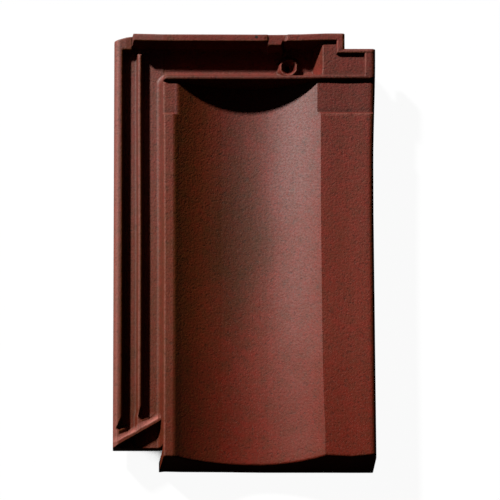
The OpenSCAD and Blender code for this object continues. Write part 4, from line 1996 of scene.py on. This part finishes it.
    def under_points(self, grid: TileGrid) -> Array:
        """Points of the lower face, with its borders set on the leaning walls.

        Args:
            grid: The tile's grid.

        Returns:
            One point a row, in millimetres.
        """
        s = self.sizes
        under = self.under
        x, row = grid.x, grid.y
        left = grid.across[0]
        x = x - left * np.clip(1.0 - (x - left) / self.border_pull, 0.0, 1.0)
        front = (row - s.front_run) / (s.lock_setback - s.front_run) * s.lock_setback
        y = np.where(row < s.lock_setback, front, row)
        border = self.body.border_x()
        turn = under.edge_round
        foot = s.wall_top - (s.land_z - turn) * s.end_lean
        beside = np.clip(1.0 - (grid.x - border) / self.apron_pull, 0.0, 1.0)
        beside = beside * (1.0 - ease(row, self.apron_pull_start, s.lock_setback))
        x = x - (border - foot) * beside
        rim_z = under.heights(np.full_like(y, s.width - self.right_probe), y)
        pull = (s.land_z - s.land_round - rim_z - turn) * s.end_lean
        x = x - pull * np.clip(1.0 - (s.width - grid.x) / self.border_pull, 0.0, 1.0)
        y = y - self.corner_cut(x, row)
        x, y = self.nail.rounded_grid(x, y, self.nail.low_round)
        rise = edge_drop(y, turn) * (row < s.lock_setback) + edge_drop(s.width - pull - x, turn)
        rise += edge_drop(x, turn) * (row >= s.lock_setback)
        rise += edge_drop(x - foot, turn) * (row < s.lock_setback - self.setback_margin)
        rise += edge_drop(self.from_back(x, y), turn)
        return np.stack([x, y, under.heights(x, y) + rise], axis=-1).reshape(-1, 3)

    def mesh(self) -> bpy.types.Mesh:
        """Joins both faces by walls along the outline.

        Each border edge of the upper face carries a strip of rows down to the lower face, with
        its points evenly between the two.

        Returns:
            The closed mesh in metres, in the frame.
        """
        s = self.sizes
        grid = self.grid()
        top, low = self.top_points(grid), self.under_points(grid)
        count = len(top)
        faces = grid.faces()
        border = grid.border()
        rim = np.unique(border)
        place = np.zeros(count, dtype=np.int64)
        place[rim] = np.arange(len(rim))
        share = np.linspace(0.0, 1.0, self.wall_rows + 1)[1:-1, None, None]
        between = (top[rim] * (1.0 - share) + low[rim] * share).reshape(-1, 3)
        levels = [border]
        levels += [2 * count + row * len(rim) + place[border] for row in range(self.wall_rows - 1)]
        levels.append(border + count)
        walls = [
            np.stack([upper[:, 1], upper[:, 0], lower[:, 0], lower[:, 1]], axis=-1)
            for upper, lower in zip(levels, levels[1:])
        ]
        quads = np.concatenate([faces, faces[:, ::-1] + count, *walls])
        points = self.warp.moved(np.concatenate([top, low, between]))
        used, quads = np.unique(quads, return_inverse=True)
        points = points[used] - np.array([s.width / 2.0, s.length / 2.0, 0.0])
        quads = quads.reshape(-1, 4)
        mesh = bpy.data.meshes.new(self.name)
        mesh.from_pydata((points * MM).tolist(), [], quads.tolist())
        mesh.shade_smooth()
        # Bends and facings for the finish, which paints shade from the inward bend and from the turn away
        # from the light.
        for name, values in zip(("edge", "hollow", "turned_from_light", "bare"), self.bends(points, quads)):
            mesh.attributes.new(name, "FLOAT", "POINT").data.foreach_set("value", values)
        # The coat's share, and the painted highlight on faces turned to the key light, on the upper face
        # only.
        for name, values in (("glaze", self.glazed(top)), ("painted_highlight", self.lit_face_highlight(top))):
            spread = np.concatenate([values, np.zeros(len(low) + len(between))])[used]
            mesh.attributes.new(name, "FLOAT", "POINT").data.foreach_set("value", spread)
        column = np.where(used < count, used % len(grid.across), -1)
        on_crease = np.isin(column, np.searchsorted(grid.across, self.body.creases() - self.least_step))
        ends = np.empty(2 * len(mesh.edges), dtype=np.int32)
        mesh.edges.foreach_get("vertices", ends)
        first, last = ends[::2], ends[1::2]
        crisp = on_crease[first] & on_crease[last] & (column[first] == column[last])
        mesh.attributes.new("sharp_edge", "BOOLEAN", "EDGE").data.foreach_set("value", crisp)
        LOG.info("%s: %d points, %d faces", self.name, len(points), len(mesh.polygons))
        return mesh

    def glazed(self, top: Array) -> Array:
        """How thick the shiny slip lies on the upper face.

        It ran together in the pan, most on the flank at its right, and thinner in the lock.

        Args:
            top: Points of the upper face as pressed.

        Returns:
            The share of each point, from 0 to 1.
        """
        s = self.sizes
        x, y = top[:, 0], top[:, 1]
        full, low = self.body.creases() + self.crease_margin
        in_pan = (x > s.pan_left) & (x < np.where(y > s.recess_start, low, full)) & (y < s.dam_front)
        pan = self.pan_glaze + self.flank_glaze * ease(x, s.pan_x, s.pan_x + self.flank_run)
        return np.where(in_pan, pan, np.where(x < s.wall_edge, self.lock_glaze, self.land_glaze))

    def lit_face_highlight(self, top: Array) -> Array:
        """Painted highlight: where the colour is made paler on faces turned to the key light, the outer
        rib's outer shoulder and the stop's slope.

        Args:
            top: Points of the upper face as pressed.

        Returns:
            The share of each point, from 0 to 1.
        """
        x, y = top[:, 0], top[:, 1]
        stop = self.lock.across_stop(x, y)
        slope = ease(stop, *self.highlight_rise) * (1.0 - ease(stop, *self.highlight_fall)) * (x < self.sizes.wall_foot)
        return np.maximum(self.highlight_share - self.highlight_share * ease(x, *self.highlight_shoulder), slope)

    def bends(self, points: Array, quads: npt.NDArray[np.int64]) -> tuple[Array, Array, Array, Array]:
        """How sharply the surface bends at each point, outwards and inwards, and how it faces.

        Along an edge of the mesh, the bend is twice the fall below the point's tangent plane
        over the squared length, which is one over the radius. The sharpest edge counts.

        Args:
            points: The mesh's points in millimetres.
            quads: Corner numbers of its faces.

        Returns:
            The bend outwards and the bend inwards, each from 0 for flat to 1 for a sharp edge,
            and how far the surface turns to the right or the front, away from the key light, which the
            finish darkens as painted shade, and downwards.
        """
        corners = points[quads]
        across = np.cross(corners[:, 2] - corners[:, 0], corners[:, 3] - corners[:, 1])
        normals = np.zeros_like(points)
        for side in range(4):
            np.add.at(normals, quads[:, side], across)
        normals /= np.maximum(np.linalg.norm(normals, axis=1, keepdims=True), TINY)
        outwards, inwards = np.zeros(len(points)), np.zeros(len(points))
        for step in (1, 3):
            here, there = quads.ravel(), np.roll(quads, -step, axis=1).ravel()
            way = points[there] - points[here]
            squared = np.maximum((way * way).sum(axis=1), self.least_step)
            fall = -2.0 * (normals[here] * way).sum(axis=1) / squared
            np.maximum.at(outwards, here, fall)
            np.maximum.at(inwards, here, -fall)
        # How far each point faces away from the key light; the finish paints shade by it.
        turned_from_light = np.clip(self.away_from_light_way[0] * normals[:, 0] + self.away_from_light_way[1] * normals[:, 1], 0.0, 1.0)
        bare = np.clip(-normals[:, 2], 0.0, 1.0)
        return np.clip(outwards / self.sharp, 0.0, 1.0), np.clip(inwards / self.sharp, 0.0, 1.0), turned_from_light, bare

    def build(self, finish: FiredClay) -> bpy.types.Object:
        """Makes the tile's object, dresses it and lets it stand for the CAD solid.

        Args:
            finish: The clay's finish.

        Returns:
            The tile's object.
        """
        mesh = self.mesh()
        mesh.materials.append(finish.material())
        tile = bpy.data.objects.new(self.name, mesh)
        bpy.context.scene.collection.objects.link(tile)
        normals = tile.modifiers.new("even_shading", "WEIGHTED_NORMAL")
        normals.keep_sharp = True
        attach(tile, "root")
        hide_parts("roof_tile")
        return tile


@dataclass(frozen=True)
class Studio:
    """Floor, light and camera around the tile, as the photograph has them."""

    floor_half: float = 6.0
    target: Vector3 = (0.00555, 0.0, 0.033)
    distance: float = 8.9
    tilt: float = math.radians(14.0)
    frame_width: float = 0.5047
    sensor: float = 36.0
    view_end: float = 50.0
    light_to: Vector3 = (-1.12, 1.29, 1.0)
    light_angle: float = math.radians(4.0)
    light_power: float = 5.8
    sky: float = 0.006
    white: float = 0.948
    gloss_glow: float = 0.008
    floor_grey: float = 0.06
    floor_rough: float = 0.9
    # Painted shade on the floor: the occlusion range and the reach over which its glow fades near the tile.
    floor_shade_ao: tuple[float, float] = (0.16, 0.42)
    floor_shade_reach: float = 0.05

    def floor(self) -> None:
        """Lays a plain pale floor under the tile, white to the camera but for its real shadow and a painted
        shade where the tile hides it.
        """
        half = self.floor_half
        corners = [(-half, -half, 0.0), (half, -half, 0.0), (half, half, 0.0), (-half, half, 0.0)]
        mesh = bpy.data.meshes.new("floor")
        mesh.from_pydata(corners, [], [(0, 1, 2, 3)])
        mat = bpy.data.materials.new("pale_floor")
        mat.use_nodes = True
        sheet = NodeSheet(mat.node_tree)
        shader = mat.node_tree.nodes["Principled BSDF"]
        shader.inputs["Base Color"].default_value = (self.floor_grey, self.floor_grey, self.floor_grey, 1.0)
        shader.inputs["Roughness"].default_value = self.floor_rough
        shader.inputs["Specular IOR Level"].default_value = 0.0
        shader.inputs["Emission Color"].default_value = WHITE
        # Painted shade: the floor's white glow fades where ambient occlusion finds it hidden under and
        # beside the tile.
        floor_occlusion = sheet.add("ShaderNodeAmbientOcclusion")
        floor_occlusion.inputs["Distance"].default_value = self.floor_shade_reach
        unshaded_floor = sheet.spread(floor_occlusion.outputs["AO"], *self.floor_shade_ao)
        glow = sheet.math("MULTIPLY", self.seen(sheet, self.white), unshaded_floor)
        sheet.feed(shader.inputs["Emission Strength"], glow)
        mesh.materials.append(mat)
        floor = bpy.data.objects.new("floor", mesh)
        bpy.context.scene.collection.objects.link(floor)

    def seen(self, sheet: NodeSheet, white: float) -> Socket:
        """Brightness of the white ground: full to the camera and weak in reflections.

        Args:
            sheet: The node tree that it is for.
            white: Brightness that the camera sees.

        Returns:
            The brightness, and zero for the light that falls on the tile.
        """
        path = sheet.add("ShaderNodeLightPath")
        mirrored = sheet.math("MAXIMUM", path.outputs["Is Glossy Ray"], path.outputs["Is Transmission Ray"])
        weak = sheet.math("MULTIPLY", mirrored, self.gloss_glow)
        full = sheet.math("MULTIPLY", path.outputs["Is Camera Ray"], white)
        return sheet.math("MAXIMUM", full, weak)

    def light(self) -> None:
        """Hangs the key light over the head's left corner and sets a weak even sky."""
        lamp = bpy.data.lights.new("key", "SUN")
        lamp.energy = self.light_power
        lamp.angle = self.light_angle
        key = bpy.data.objects.new("key", lamp)
        way = np.array(self.light_to) / np.linalg.norm(self.light_to)
        key.rotation_euler = (math.acos(way[2]), 0.0, math.atan2(way[0], -way[1]))
        bpy.context.scene.collection.objects.link(key)
        world = bpy.data.worlds.new("sky")
        world.use_nodes = True
        sheet = NodeSheet(world.node_tree)
        shader = world.node_tree.nodes["Background"]
        shader.inputs["Color"].default_value = WHITE
        strength = sheet.math("MAXIMUM", self.seen(sheet, 1.0), self.sky)
        sheet.feed(shader.inputs["Strength"], strength)
        bpy.context.scene.world = world

    def camera(self) -> None:
        """Places the camera above the tile, tilted towards the eave."""
        data = bpy.data.cameras.new("camera")
        data.sensor_width = self.sensor
        data.lens = self.sensor * self.distance / self.frame_width
        data.clip_end = self.view_end
        camera = bpy.data.objects.new("camera", data)
        offset = np.array([0.0, -math.sin(self.tilt), math.cos(self.tilt)]) * self.distance
        camera.location = np.array(self.target) + offset
        camera.rotation_euler = (self.tilt, 0.0, 0.0)
        bpy.context.scene.collection.objects.link(camera)
        bpy.context.scene.camera = camera


def main() -> None:
    """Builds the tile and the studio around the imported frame."""
    logging.basicConfig(level=logging.INFO)
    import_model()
    bpy.context.scene.view_settings.view_transform = "Standard"
    tile = RoofTile(TileSizes()).build(FiredClay())
    LOG.info("%s stands for the CAD solid", tile.name)
    studio = Studio()
    studio.floor()
    studio.light()
    studio.camera()
    bpy.context.view_layer.update()


if __name__ == "__main__":
    main()
